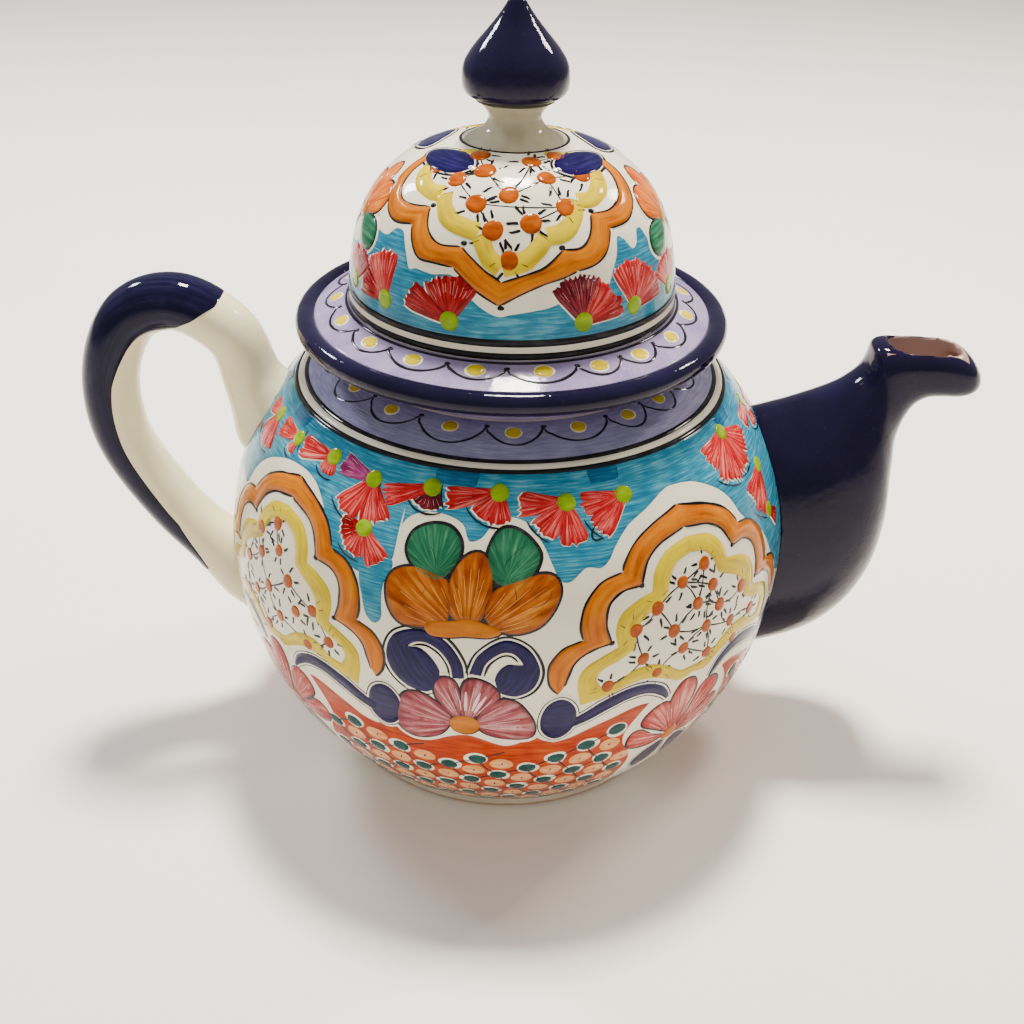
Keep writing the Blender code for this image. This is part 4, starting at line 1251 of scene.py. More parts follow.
    def paint_pink_flower(self) -> None:
        """Four streaked pink petals round a mustard eye."""
        painter = self.painter
        hub = (self.axis - 0.1, 59.4)
        petals = [
            [(-2.6, 61.0), (-3.6, 64.6), (-6.6, 68.4), (-9.4, 69.4), (-11.6, 67.4), (-12.4, 63.0),
             (-13.0, 58.0), (-12.6, 53.8), (-10.2, 51.4), (-7.2, 52.2), (-4.2, 55.4)],
            [(-2.4, 62.6), (-5.0, 68.0), (-5.5, 72.6), (-4.2, 75.6), (-2.2, 75.4), (-1.1, 72.0),
             (-0.9, 66.0), (-1.0, 62.4)],
            [(-0.6, 62.8), (-0.7, 70.0), (0.0, 75.0), (1.8, 76.2), (4.4, 74.8), (6.0, 72.0), (5.8, 69.4),
             (3.6, 66.0), (1.5, 62.6)],
            [(2.0, 61.4), (3.6, 66.4), (6.2, 69.8), (9.0, 69.0), (11.0, 65.4), (12.4, 61.0), (12.6, 57.0),
             (11.6, 54.8), (8.0, 54.6), (4.6, 55.8), (2.6, 58.0)],
        ]
        for petal in petals:
            painter.keyed_pad(PINK, self.shape(petal), hub, key=0.6, halo=1.0)
            painter.rays(SPARK_PINK, hub, self.shape(petal), 5, 0.9, (0.30, 0.88))
        for points in ([(-10.2, 62.6), (-8.6, 61.4), (-7.4, 61.4)], [(6.0, 61.8), (7.6, 61.8), (9.2, 63.2)],
                       [(-1.2, 73.4), (-1.0, 69.0), (-1.4, 65.0)]):
            self.mark(points, 0.75, 0.4)
        painter.keyed_pad(MUSTARD, painter.oval(hub, 4.1, 3.7), key=0.3, layer=Layer.MARK)


# ---- the pot ------------------------------------------------------------------------------------
@dataclass
class Pot:
    """The thrown pot: wall, neck and foot, mm."""

    axis_x: float
    belly_radius: float = 85.0
    belly_height: float = 71.5
    belly_drop: float = 90.0
    belly_rise: float = 77.0
    wall: float = 5.0
    shoulder_radius: float = 62.8
    shoulder_slope: float = math.radians(20.0)
    floor: float = 5.3
    neck_radius: float = 46.0
    mouth_radius: float = 41.8
    neck_height: float = 12.0
    foot_radius: float = 55.4
    foot_width: float = 7.0
    foot_height: float = 5.0
    steps: int = 448

    def wall_radius(self, z: np.ndarray, inset: float = 0.0) -> np.ndarray:
        """Radius of the belly: a quarter ellipse below its widest ring and another above.

        Args:
            z: Heights, mm.
            inset: How far inside the skin, mm.

        Returns:
            Radii, mm.
        """
        rise = np.where(z > self.belly_height, self.belly_rise, self.belly_drop) - inset
        share = (z - self.belly_height) / rise
        return (self.belly_radius - inset) * np.sqrt(np.maximum(0.0, 1.0 - share * share))

    @property
    def shoulder_edge(self) -> float:
        """Height where the belly turns in."""
        share = self.shoulder_radius / self.belly_radius
        return self.belly_height + self.belly_rise * math.sqrt(1.0 - share * share)

    @property
    def neck_foot(self) -> float:
        """Height where the neck stands on the shoulder."""
        return self.shoulder_edge + (self.shoulder_radius - self.neck_radius) * math.tan(self.shoulder_slope)

    def outside(self) -> np.ndarray:
        """Outline of the painted outside, from the underside's edge to the neck.

        Returns:
            Rows (radius, height), mm.
        """
        z = np.linspace(self.floor, self.shoulder_edge, 240)
        belly = np.stack([self.wall_radius(z), z], axis=1)
        return soften([*belly, (self.neck_radius, self.neck_foot)], 1.6)

    def ware(self) -> TurnedWare:
        """The outside as a surface to paint on."""
        return TurnedWare(self.outside(), self.axis_x)

    def build_wall(self) -> bpy.types.Object:
        """The wall and floor as one turned shell.

        Returns:
            The shell, not yet drilled.
        """
        outside = evenly(self.outside(), 128)
        inner_top = self.neck_foot - self.wall
        inner_edge = self.shoulder_radius - self.wall
        drop = (inner_edge - self.mouth_radius) * math.tan(self.shoulder_slope)
        z = np.linspace(inner_top - drop, self.floor + self.wall + 4.0, 40)
        inside = np.stack([self.wall_radius(z, self.wall), z], axis=1)
        corner = [(self.mouth_radius, self.neck_foot), (self.mouth_radius, inner_top), *inside,
                  (inside[-1][0] - 6.0, self.floor + self.wall), (20.0, self.floor + self.wall)]
        inner = evenly(soften(corner, 1.2), 58)
        start = [(0.0, self.floor), (24.0, self.floor), (44.0, self.floor), (54.0, self.floor)]
        outline = np.vstack([start, outside, inner, [(0.0, self.floor + self.wall)]])
        return turned_piece("pot_wall", outline, self.axis_x, self.steps)

    def build(self) -> None:
        """Wall, neck and foot, glazed."""
        wall = self.build_wall()
        drill_strainer(wall, self)
        dress(wall, WHITE_WARE, "pot", "painted_white_glaze",
              "pot_floor", "belly_lower", "belly_middle", "belly_upper", "pot_shoulder")
        low, top = self.neck_foot - 0.4, self.neck_foot + self.neck_height
        neck = soften([(self.mouth_radius, low), (self.neck_radius, low), (self.neck_radius, top),
                       (self.mouth_radius, top)], 1.1, closed=True)
        neck_piece = turned_piece("neck", neck, self.axis_x, 256, ring=True)
        dress(neck_piece, LILAC_WARE, "pot", "neck_glaze", "neck_collar")
        inner = self.foot_radius - self.foot_width
        foot = soften([(inner, self.foot_height + 0.4), (inner + 0.3, 0.0), (self.foot_radius, 0.0),
                       (self.foot_radius + 0.6, self.foot_height + 0.4)], 0.9, closed=True)
        foot_piece = turned_piece("foot", foot, self.axis_x, 256, ring=True)
        dress(foot_piece, FOOT_WARE, "pot", "foot_white_glaze", "foot_ring")


def finished_copy(obj: bpy.types.Object) -> bpy.types.Mesh:
    """The mesh of an object after its modifiers.

    Args:
        obj: The object.

    Returns:
        A new mesh.
    """
    bpy.context.view_layer.update()
    evaluated = obj.evaluated_get(bpy.context.evaluated_depsgraph_get())
    return bpy.data.meshes.new_from_object(evaluated)


def settle(obj: bpy.types.Object, tools: list) -> None:
    """Apply an object's modifiers and throw its cutting tools away.

    Args:
        obj: The object.
        tools: The cutting tools.
    """
    mesh = finished_copy(obj)
    old = obj.data
    obj.modifiers.clear()
    obj.data = mesh
    bpy.data.meshes.remove(old)
    for tool in tools:
        shape = tool.data
        bpy.data.objects.remove(tool)
        bpy.data.meshes.remove(shape)
    obj.data.shade_smooth()


def carve(obj: bpy.types.Object, tool: bpy.types.Object) -> None:
    """Take a tool's shape away from an object with a live modifier.

    Args:
        obj: The object.
        tool: The shape that is cut away.
    """
    cut = obj.modifiers.new("carve_" + tool.name, "BOOLEAN")
    cut.operation = "DIFFERENCE"
    cut.solver = "EXACT"
    cut.object = tool


def drill_strainer(wall: bpy.types.Object, pot: Pot) -> None:
    """Drill one strainer hole and six round it through the wall, behind the spout.

    Args:
        wall: The shell that is drilled.
        pot: Its sizes.
    """
    hole, spread, height = 2.3, 9.5, 66.0
    angle = np.arange(24) * 2.0 * np.pi / 24
    middles = [(0.0, height)] + [(spread * math.cos(math.pi * (k + 0.5) / 3.0),
                                  height + spread * math.sin(math.pi * (k + 0.5) / 3.0)) for k in range(6)]
    tools = []
    for number, (y, z) in enumerate(middles):
        reach = float(pot.wall_radius(np.array(z)))
        rings = [np.stack([np.full(24, pot.axis_x + (reach + end) * MM), (y + hole * np.cos(angle)) * MM,
                           (z + hole * np.sin(angle)) * MM], axis=1) for end in (-14.0, 9.0)]
        tools.append(capped_loft(f"strainer_drill_{number}", np.stack(rings)))
        carve(wall, tools[-1])
    settle(wall, tools)


# ---- the handle ---------------------------------------------------------------------------------
@dataclass
class Handle:
    """The looped strap: an oval section carried along a curve in the plane of the pot's axis.

    Chart places on it are (degrees round the section, mm along the loop); 0 degrees is the
    outside of the loop and 90 the front.
    """

    pot: Pot
    reach: float = 127.0
    thickness: float = 16.4
    width: float = 18.4
    top: float = 141.8
    upper_root: float = 111.0
    lower_root: float = 50.0
    flare: float = 0.42           # how much the section grows where it meets the pot
    web: float = 0.55             # the same for the side that faces into the loop
    buried: float = 11.0          # length at each end that lies inside the pot's wall

    def __post_init__(self) -> None:
        """Work out the loop's centre line and its directions."""
        half = self.thickness / 2.0
        out = -(self.reach - half)
        upper = (-float(self.pot.wall_radius(np.array(self.upper_root))), self.upper_root)
        lower = (-float(self.pot.wall_radius(np.array(self.lower_root))), self.lower_root)
        drop = self.top - lower[1]
        knots = [(upper[0] + 11.0, upper[1] - 15.0), (upper[0] - 2.2, upper[1] + 5.5),
                 (upper[0] - 8.5, upper[1] + 0.70 * (self.top - upper[1])),
                 (0.5 * (upper[0] + out), self.top),
                 (out + 8.6, self.top - 0.05 * drop), (out + 0.4, self.top - 0.24 * drop),
                 (out + 1.2, self.top - 0.47 * drop), (out + 12.4, self.top - 0.71 * drop),
                 (lower[0] - 10.2, lower[1] + 10.2), (lower[0] + 9.0, lower[1] - 7.0)]
        curve = smooth_curve(knots, 24)
        self.path = evenly(curve, 200)
        self.along = np.linspace(0.0, length_of(curve), 200)
        heading = np.gradient(self.path, self.along, axis=0)
        self.heading = heading / np.linalg.norm(heading, axis=1)[:, None]

    @property
    def length(self) -> float:
        """Length of the loop, mm."""
        return float(self.along[-1])

    def per_degree(self, s: float) -> float:
        """Millimetres round the section to one degree."""
        return (self.thickness + self.width) / 4.0 * math.pi / 180.0

    def place(self, turn: np.ndarray, s: np.ndarray, lift: np.ndarray) -> np.ndarray:
        """Places in metres: the centre line, plus the section's oval, grown near both roots.

        Args:
            turn: Degrees round the section.
            s: Distance along the loop, mm.
            lift: Distance above the glaze, mm.

        Returns:
            Places, with those inside the pot's wall moved out to just under its surface.
        """
        angle = np.radians(turn)
        x, z = (np.interp(s, self.along, self.path[:, i]) for i in range(2))
        dx, dz = (np.interp(s, self.along, self.heading[:, i]) for i in range(2))
        nearest = np.minimum(s, self.length - s)
        nearest = np.maximum(0.0, nearest - self.buried)
        near = np.exp(-(nearest / 12.0) ** 2)
        inwards = np.maximum(0.0, -np.cos(angle)) ** 1.5 * (s < self.length / 2.0)
        grow = 1.0 + self.flare * near + self.web * inwards * np.exp(-(nearest / 11.0) ** 2)
        half_up = self.thickness / 2.0 * grow + lift
        half_side = self.width / 2.0 * (1.0 + self.flare * near) + lift
        out = np.cos(angle) * half_up
        side = -np.sin(angle) * half_side
        px, pz = x + dz * out, z - dx * out
        rho = np.hypot(px, side)
        limit = self.pot.wall_radius(pz) - 1.6
        push = np.where(rho < limit, limit / np.maximum(rho, 1e-6), 1.0)
        return np.stack([self.pot.axis_x + px * push * MM, side * push * MM, pz * MM], axis=-1)

    def build(self, rng: np.random.Generator) -> None:
        """The strap in cream glaze, with a navy band along its outside.

        Args:
            rng: Source of the hand's variation.
        """
        turn = np.arange(56) * 360.0 / 56
        s = np.concatenate([np.linspace(0.0, 30.0, 40), np.linspace(31.0, self.length - 21.0, 190),
                            np.linspace(self.length - 20.0, self.length, 26)])
        rings = self.place(turn[None, :], s[:, None], np.zeros((len(s), 1)))
        strap = capped_loft("handle_strap", rings)
        dress(strap, CREAM_WARE, "pot", "handle_cream_glaze",
              "handle", "handle_upper_root", "handle_lower_root")
        painter = Painter(self, "handle", rng)
        share = np.linspace(0.0, 1.0, 150)
        start, end = 0.265 * self.length, 0.875 * self.length
        edges = []
        for sign in (1.0, -1.0):
            half = np.interp(share, [0, 0.03, 0.07, 0.12, 0.24, 0.4, 0.6, 0.85, 1.0],
                             [40.0, 90.0, 126.0, 140.0, 126.0, 108.0, 102.0, 96.0, 58.0])
            half = half * (1.0 + 0.02 * wobble(150, rng, 5))
            edges.append(np.stack([sign * half, start + (end - start) * share], axis=1))
        painter.strip(NAVY_BAND, edges[0], edges[1], Layer.FILL, ribs=44)
        painter.pieces("pot", "handle_cream_glaze")


# ---- the spout ----------------------------------------------------------------------------------
@dataclass
class Spout:
    """The hollow beaked spout, mm from the pot's axis."""

    pot: Pot
    reach: float = 138.5
    top: float = 134.0
    wall: float = 3.4
    front: float = 117.5
    back: float = 105.8
    root_low: float = 24.0
    root_high: float = 110.0
    root_width: float = 21.0
    beak_depth: float = 15.8
    beak_width: float = 9.5
    mouth_length: float = 21.5

    def rows(self) -> list:
        """Cuts across the spout from base to tip.

        Returns:
            Rows (back x, z, front x, z, half width, squareness), mm.
        """
        under, root, beak = self.top - self.beak_depth, self.root_width, self.beak_width
        inside = float(self.pot.wall_radius(np.array(66.0))) - 23.0
        low, high, back, front, tip, top = (self.root_low, self.root_high, self.back, self.front,
                                            self.reach, self.top)
        return [
            (inside, high - 2.0, inside, low - 3.0, 0.95 * root, 2.0),
            (back - 25.8, high + 3.0, front - 24.5, low + 6.5, root, 2.0),
            (back - 14.8, high + 7.0, front - 10.5, low + 17.0, 0.97 * root, 2.0),
            (back - 7.8, high + 10.5, front - 2.5, low + 32.0, 0.88 * root, 2.0),
            (back - 3.3, top - 10.0, front, low + 49.0, 0.74 * root, 2.1),
            (back - 1.3, top - 7.0, front - 0.7, under - 27.0, 0.60 * root, 2.2),
            (back - 0.5, top - 4.0, front - 1.1, under - 14.0, 1.11 * beak, 2.3),
            (back, top - 1.4, front + 1.5, under - 4.6, 1.03 * beak, 2.5),
            (back + 2.7, top, front + 5.5, under - 0.6, beak, 2.7),
            (back + 11.2, top, front + 10.0, under + 0.1, beak, 2.8),
            (tip - 11.5, top - 0.4, tip - 7.0, under, 0.98 * beak, 2.8),
            (tip - 5.0, top - 3.0, tip - 3.5, under + 0.4, 0.86 * beak, 2.6),
            (tip - 1.3, top - 7.2, tip - 0.9, under + 1.6, 0.58 * beak, 2.3),
            (tip, top - 9.6, tip, under + 4.0, 0.22 * beak, 2.0),
        ]

    def rings(self, inset: float, drop_last: int = 0) -> np.ndarray:
        """Rounded rings across the spout: a squared-off ellipse between each cut's two ends.

        Args:
            inset: How far inside the outer skin they lie, mm.
            drop_last: Rings left off at the tip.

        Returns:
            Places in metres, rings by points by 3.
        """
        rows = smooth_curve(self.rows(), 8)
        rows = rows[:len(rows) - drop_last]
        angle = np.arange(72) * 2.0 * np.pi / 72
        c, s = np.cos(angle)[None, :], np.sin(angle)[None, :]
        power = 2.0 / rows[:, 5:6]
        across = rows[:, 0:2] - rows[:, 2:4]
        size = np.linalg.norm(across, axis=1)[:, None]
        way = across / size
        u = np.sign(c) * np.abs(c) ** power * (size / 2.0 - inset)
        v = np.sign(s) * np.abs(s) ** power * (rows[:, 4:5] - inset)
        middle = (rows[:, 0:2] + rows[:, 2:4]) / 2.0
        x = middle[:, 0:1] + way[:, 0:1] * u
        z = middle[:, 1:2] + way[:, 1:2] * u
        return np.stack([self.pot.axis_x + x * MM, v * MM, z * MM], axis=-1)

    def mouth_tool(self) -> bpy.types.Object:
        """The shape that opens the top of the beak.

        Returns:
            The cutting tool.
        """
        middle = (self.back + self.wall + self.reach - 6.0) / 2.0
        angle = np.arange(48) * 2.0 * np.pi / 48
        c, s = np.cos(angle), np.sin(angle)
        x = middle + np.sign(c) * np.abs(c) ** (2.0 / 2.8) * self.mouth_length / 2.0
        y = np.sign(s) * np.abs(s) ** (2.0 / 2.8) * (self.beak_width - self.wall + 0.4)
        rings = [np.stack([self.pot.axis_x + x * MM, y * MM, np.full(48, z * MM)], axis=1)
                 for z in (self.top - 0.5 * self.beak_depth, self.top + 8.0)]
        return capped_loft("mouth_tool", np.stack(rings))

    def build(self) -> None:
        """Loft the skin, hollow it, trim it to the wall, open the mouth, and soften every edge."""
        spout = capped_loft("spout_body", self.rings(0.0))
        bore = capped_loft("bore_tool", self.rings(self.wall, 14))
        z = np.linspace(self.pot.floor, self.pot.shoulder_edge, 60)
        belly = np.stack([self.pot.wall_radius(z) - 0.5, z], axis=1)
        outline = np.vstack([[(0.0, self.pot.floor)], belly, [(0.0, self.pot.shoulder_edge)]])
        trim = turned_piece("trim_tool", outline, self.pot.axis_x, 192)
        mouth = self.mouth_tool()
        for tool in (bore, trim, mouth):
            carve(spout, tool)
        rounding = spout.modifiers.new("remesh", "REMESH")
        rounding.mode = "VOXEL"
        rounding.voxel_size = 0.62 * MM
        rounding.use_smooth_shade = True
        relax = spout.modifiers.new("relax", "SMOOTH")
        relax.factor = 0.5
        relax.iterations = 10
        settle(spout, [bore, trim, mouth])
        # Painted reflection: the inside of the mouth gets a pale pinkish grey, standing in for the pale
        # surroundings seen in the glossy trough.
        low = (self.pot.axis_x + (self.back + 2.6) * MM, -6.7 * MM, (self.top - 13.8) * MM)
        high = (self.pot.axis_x + (self.reach - 6.0) * MM, 6.7 * MM, (self.top - 1.3) * MM)
        glaze = replace(NAVY_WARE, name="spout_glaze", painted_reflection=((0.34, 0.22, 0.19), low, high))
        dress(spout, glaze, "pot", "spout_cobalt_glaze", "spout")


# ---- the lid ------------------------------------------------------------------------------------
@dataclass
class Lid:
    """The lid: flange, rolled rim, dome, locating collar and onion knob, mm."""

    pot: Pot
    clearance: float = 0.9
    collar_wall: float = 3.6
    collar_depth: float = 9.0
    flange_radius: float = 58.6
    flange_thickness: float = 4.8
    flange_slope: float = math.radians(22.5)
    bead_radius: float = 3.1
    dome_radius: float = 46.3
    dome_height: float = 44.3
    dome_wall: float = 4.5
    dome_power: float = 2.8
    dome_taper: float = 0.055
    stem_foot: float = 14.6
    stem_waist: float = 7.2
    stem_height: float = 9.4
    bulb_radius: float = 14.2
    bulb_height: float = 25.5
    gap: float = 0.3

    @property
    def seat(self) -> float:
        """Height of the flange's underside."""
        return self.pot.neck_foot + self.pot.neck_height + self.gap

    @property
    def dome_base(self) -> float:
        """Height of the dome's lower edge."""
        return self.seat + self.flange_thickness + self.gap

    def flange_top(self, radius: float) -> float:
        """Height of the flange's sloping top at a radius."""
        return (self.seat + self.flange_thickness
                - max(0.0, radius - self.dome_radius) * math.tan(self.flange_slope))

    def dome_outline(self, inset: float, count: int) -> np.ndarray:
        """The dome: a squared-off quarter ellipse, narrower towards its top.

        Args:
            inset: How far inside the skin, mm.
            count: How many rows.

        Returns:
            Rows (radius, height), mm.
        """
        angle = np.linspace(0.0, math.pi / 2.0, count)
        lift = np.sin(angle) ** (2.0 / self.dome_power)
        reach = np.maximum(np.cos(angle), 0.0) ** (2.0 / self.dome_power)
        radius = (self.dome_radius - inset) * reach * (1.0 - self.dome_taper * lift)
        return np.stack([radius, self.dome_base + (self.dome_height - inset) * lift], axis=1)

    def ware(self) -> TurnedWare:
        """The flange's top and the dome as one surface to paint on.

        Returns:
            The ware, from the rim to the top.
        """
        radii = np.linspace(self.flange_radius, self.dome_radius, 30)
        flange = [(r, self.flange_top(float(r))) for r in radii]
        return TurnedWare(np.vstack([flange, self.dome_outline(0.0, 400)]), self.pot.axis_x)

    def build(self) -> None:
        """Every piece of the lid, glazed."""
        axis = self.pot.axis_x
        collar = self.pot.mouth_radius - self.clearance
        bore = collar - self.collar_wall
        edge = self.flange_radius - self.bead_radius + 0.8
        under = self.flange_top(edge) - 4.6
        flange = soften([(bore, self.dome_base - 0.2), (self.dome_radius, self.dome_base - 0.3),
                         (edge, self.flange_top(edge)), (edge, under), (46.5, self.seat), (bore, self.seat)],
                        0.3, 0.25, closed=True)
        dress(turned_piece("lid_skirt", flange, axis, 320, ring=True), LILAC_WARE,
              "lid", "flange_lilac_glaze", "lid_flange")
        angle = np.arange(40) * 2.0 * np.pi / 40
        bead_z = self.flange_top(self.flange_radius - self.bead_radius) - 0.75 * self.bead_radius
        bead = np.stack([self.flange_radius + self.bead_radius * np.cos(angle),
                         bead_z + self.bead_radius * np.sin(angle)], axis=1)
        dress(turned_piece("lid_rolled_rim", bead, axis, 320, ring=True), NAVY_WARE,
              "lid", "bead_cobalt_glaze", "lid_rim_bead")
        outer = evenly(self.dome_outline(0.0, 400), 120)
        inner = evenly(self.dome_outline(self.dome_wall, 400), 70)
        outer[0, 1] -= 0.35
        inner[0, 1] -= 0.35
        dome = np.vstack([inner[::-1], outer])
        dome[0, 0] = dome[-1, 0] = 0.0
        dress(turned_piece("lid_dome_shell", dome, axis, 400), WHITE_WARE,
              "lid", "dome_painted_glaze", "lid_dome")
        low = self.seat - self.gap - self.collar_depth
        rim = soften([(bore, self.seat + 0.2), (collar, self.seat + 0.2), (collar, low), (bore, low)],
                     0.8, closed=True)
        dress(turned_piece("lid_locating_ring", rim, axis, 256, ring=True), STEM_WARE,
              "lid", "collar_white_glaze", "lid_locating_collar")
        self.build_knob()

    def build_knob(self) -> None:
        """The concave stem and the onion bulb."""
        axis, top = self.pot.axis_x, self.dome_base + self.dome_height
        waist = [(self.stem_foot, -0.9), (11.6, 0.5), (8.7, 2.2), (self.stem_waist, 4.6),
                 (7.5, 6.4), (8.9, 8.1),
                 (10.6, self.stem_height)]
        stem = smooth_curve([(r, top + z) for r, z in waist], 10)
        stem = np.vstack([[(0.0, top - 1.4)], [(8.0, top - 1.4)], stem, [(6.0, top + self.stem_height + 0.5)],
                          [(0.0, top + self.stem_height + 0.5)]])
        dress(turned_piece("knob_stem", stem, axis, 128), STEM_WARE, "lid", "stem_white_glaze",
              "finial_stem")
        low = top + self.stem_height + self.gap
        shares = [(0.0, 0.0), (0.02, 0.60), (0.035, 0.86), (0.10, 0.975), (0.22, 1.0), (0.36, 0.955),
                  (0.50, 0.80), (0.64, 0.585), (0.78, 0.37), (0.90, 0.215), (0.97, 0.13), (1.0, 0.0)]
        bulb = smooth_curve([(share * self.bulb_radius, low + up * self.bulb_height)
                             for up, share in shares], 8)
        bulb[:, 0] = np.maximum(bulb[:, 0], 0.0)
        dress(turned_piece("knob_bulb", bulb, axis, 160), NAVY_WARE, "lid", "bulb_cobalt_glaze",
              "finial_bulb")


# ---- what is painted on the pot -----------------------------------------------------------------
FRONT_DOTS = [(-18.8, 71.3), (-9, 71.5), (-12, 77.5), (-3.2, 76.5), (-13.7, 86.8), (-9, 91.5), (-5.5, 83),
              (-2.8, 96), (3, 98.5), (4.5, 91.5), (0.3, 88.2), (2.3, 80.3), (6, 84.5), (9.3, 77), (3, 71),
              (11, 70), (13, 85.5), (16.5, 75.5)]
SIDE_DOTS = [(-2, 101), (-7.5, 96.5), (0.7, 94.5), (-5.7, 90), (5, 88), (-11, 85), (-1.5, 82), (8, 80.5),
             (12.7, 83.5), (17, 76.3), (-6.5, 77.5), (2.7, 75.3), (11.3, 72), (-2, 69), (-11, 74)]


def fan(painter: Painter, pigment: Pigment, hub: tuple, turn: float, spread: float, length: float,
        lined: bool = False) -> None:
    """A fan of brush strokes from a hub: a sector with a ragged outer edge and pale gaps between.

    Args:
        painter: Who paints it.
        pigment: The strokes' colour.
        hub: Chart place that they start from.
        turn: Direction of the fan's middle, degrees from +x towards +y.
        spread: Angle that it covers, degrees.
        length: From hub to outer edge, mm.
        lined: Whether a black line curls round its outer edge.
    """
    rng = painter.rng
    teeth = max(3, round(math.radians(spread) * length / 1.5))
    angles = np.radians(turn + spread * np.linspace(-0.5, 0.5, 2 * teeth + 1))
    reach = length * (0.93 + 0.09 * (np.arange(2 * teeth + 1) % 2) + rng.uniform(-0.05, 0.05, 2 * teeth + 1))
    reach[[0, -1]] *= 0.90
    shape = np.stack([reach * np.cos(angles), reach * np.sin(angles)], axis=1)
    back = np.radians(turn + 180.0)
    side = np.array([-math.sin(math.radians(turn)), math.cos(math.radians(turn))])
    base = 0.6 * np.array([math.cos(back), math.sin(back)])
    outline = painter.spread(hub, np.vstack([shape, base + 0.9 * side, base - 0.9 * side]))
    gap = painter.spread((0.0, hub[1]), rng.uniform(-0.5, 0.1, (1, 2)))[0] - (0.0, hub[1])
    painter.pad(RESERVE, outline + gap, Layer.HALO, grow=0.0)
    painter.pad(pigment, outline, Layer.FILL, hub)
    for i in range(teeth - 1):
        angle = math.radians(turn + spread * ((i + 1.0) / teeth - 0.5) + rng.uniform(-2.0, 2.0))
        ends = np.array([rng.uniform(0.42, 0.62), rng.uniform(0.86, 1.0)]) * length
        line = ends[:, None] * (math.cos(angle), math.sin(angle))
        painter.stroke(SPARK, painter.spread(hub, line), rng.uniform(0.22, 0.42), Layer.MARK, taper=0.4)
    if lined:
        around = np.radians(turn + spread * np.linspace(-0.55, 0.35, 12))
        bow = (length + 1.0) * np.stack([np.cos(around), np.sin(around)], axis=1)
        painter.stroke(INK, painter.spread(hub, bow), 0.45, Layer.LINE, unsteady=0.5, taper=0.25)


def band_edge(knots: list, per_span: int) -> tuple[np.ndarray, np.ndarray]:
    """An edge that runs right round: the front's knots, and the same again on the back.

    Args:
        knots: Rows (degrees, mm), in order of angle, for the front half.
        per_span: Steps between knots.

    Returns:
        Angles in degrees and the edge's distance up the ware at each, mm.
    """
    rows = smooth_curve(knots, per_span)
    both = np.vstack([rows, rows + (180.0, 0.0)])
    theta = np.linspace(-180.0, 180.0, 721)[:-1]
    return theta, np.interp(theta, both[:, 0], both[:, 1], period=360.0)


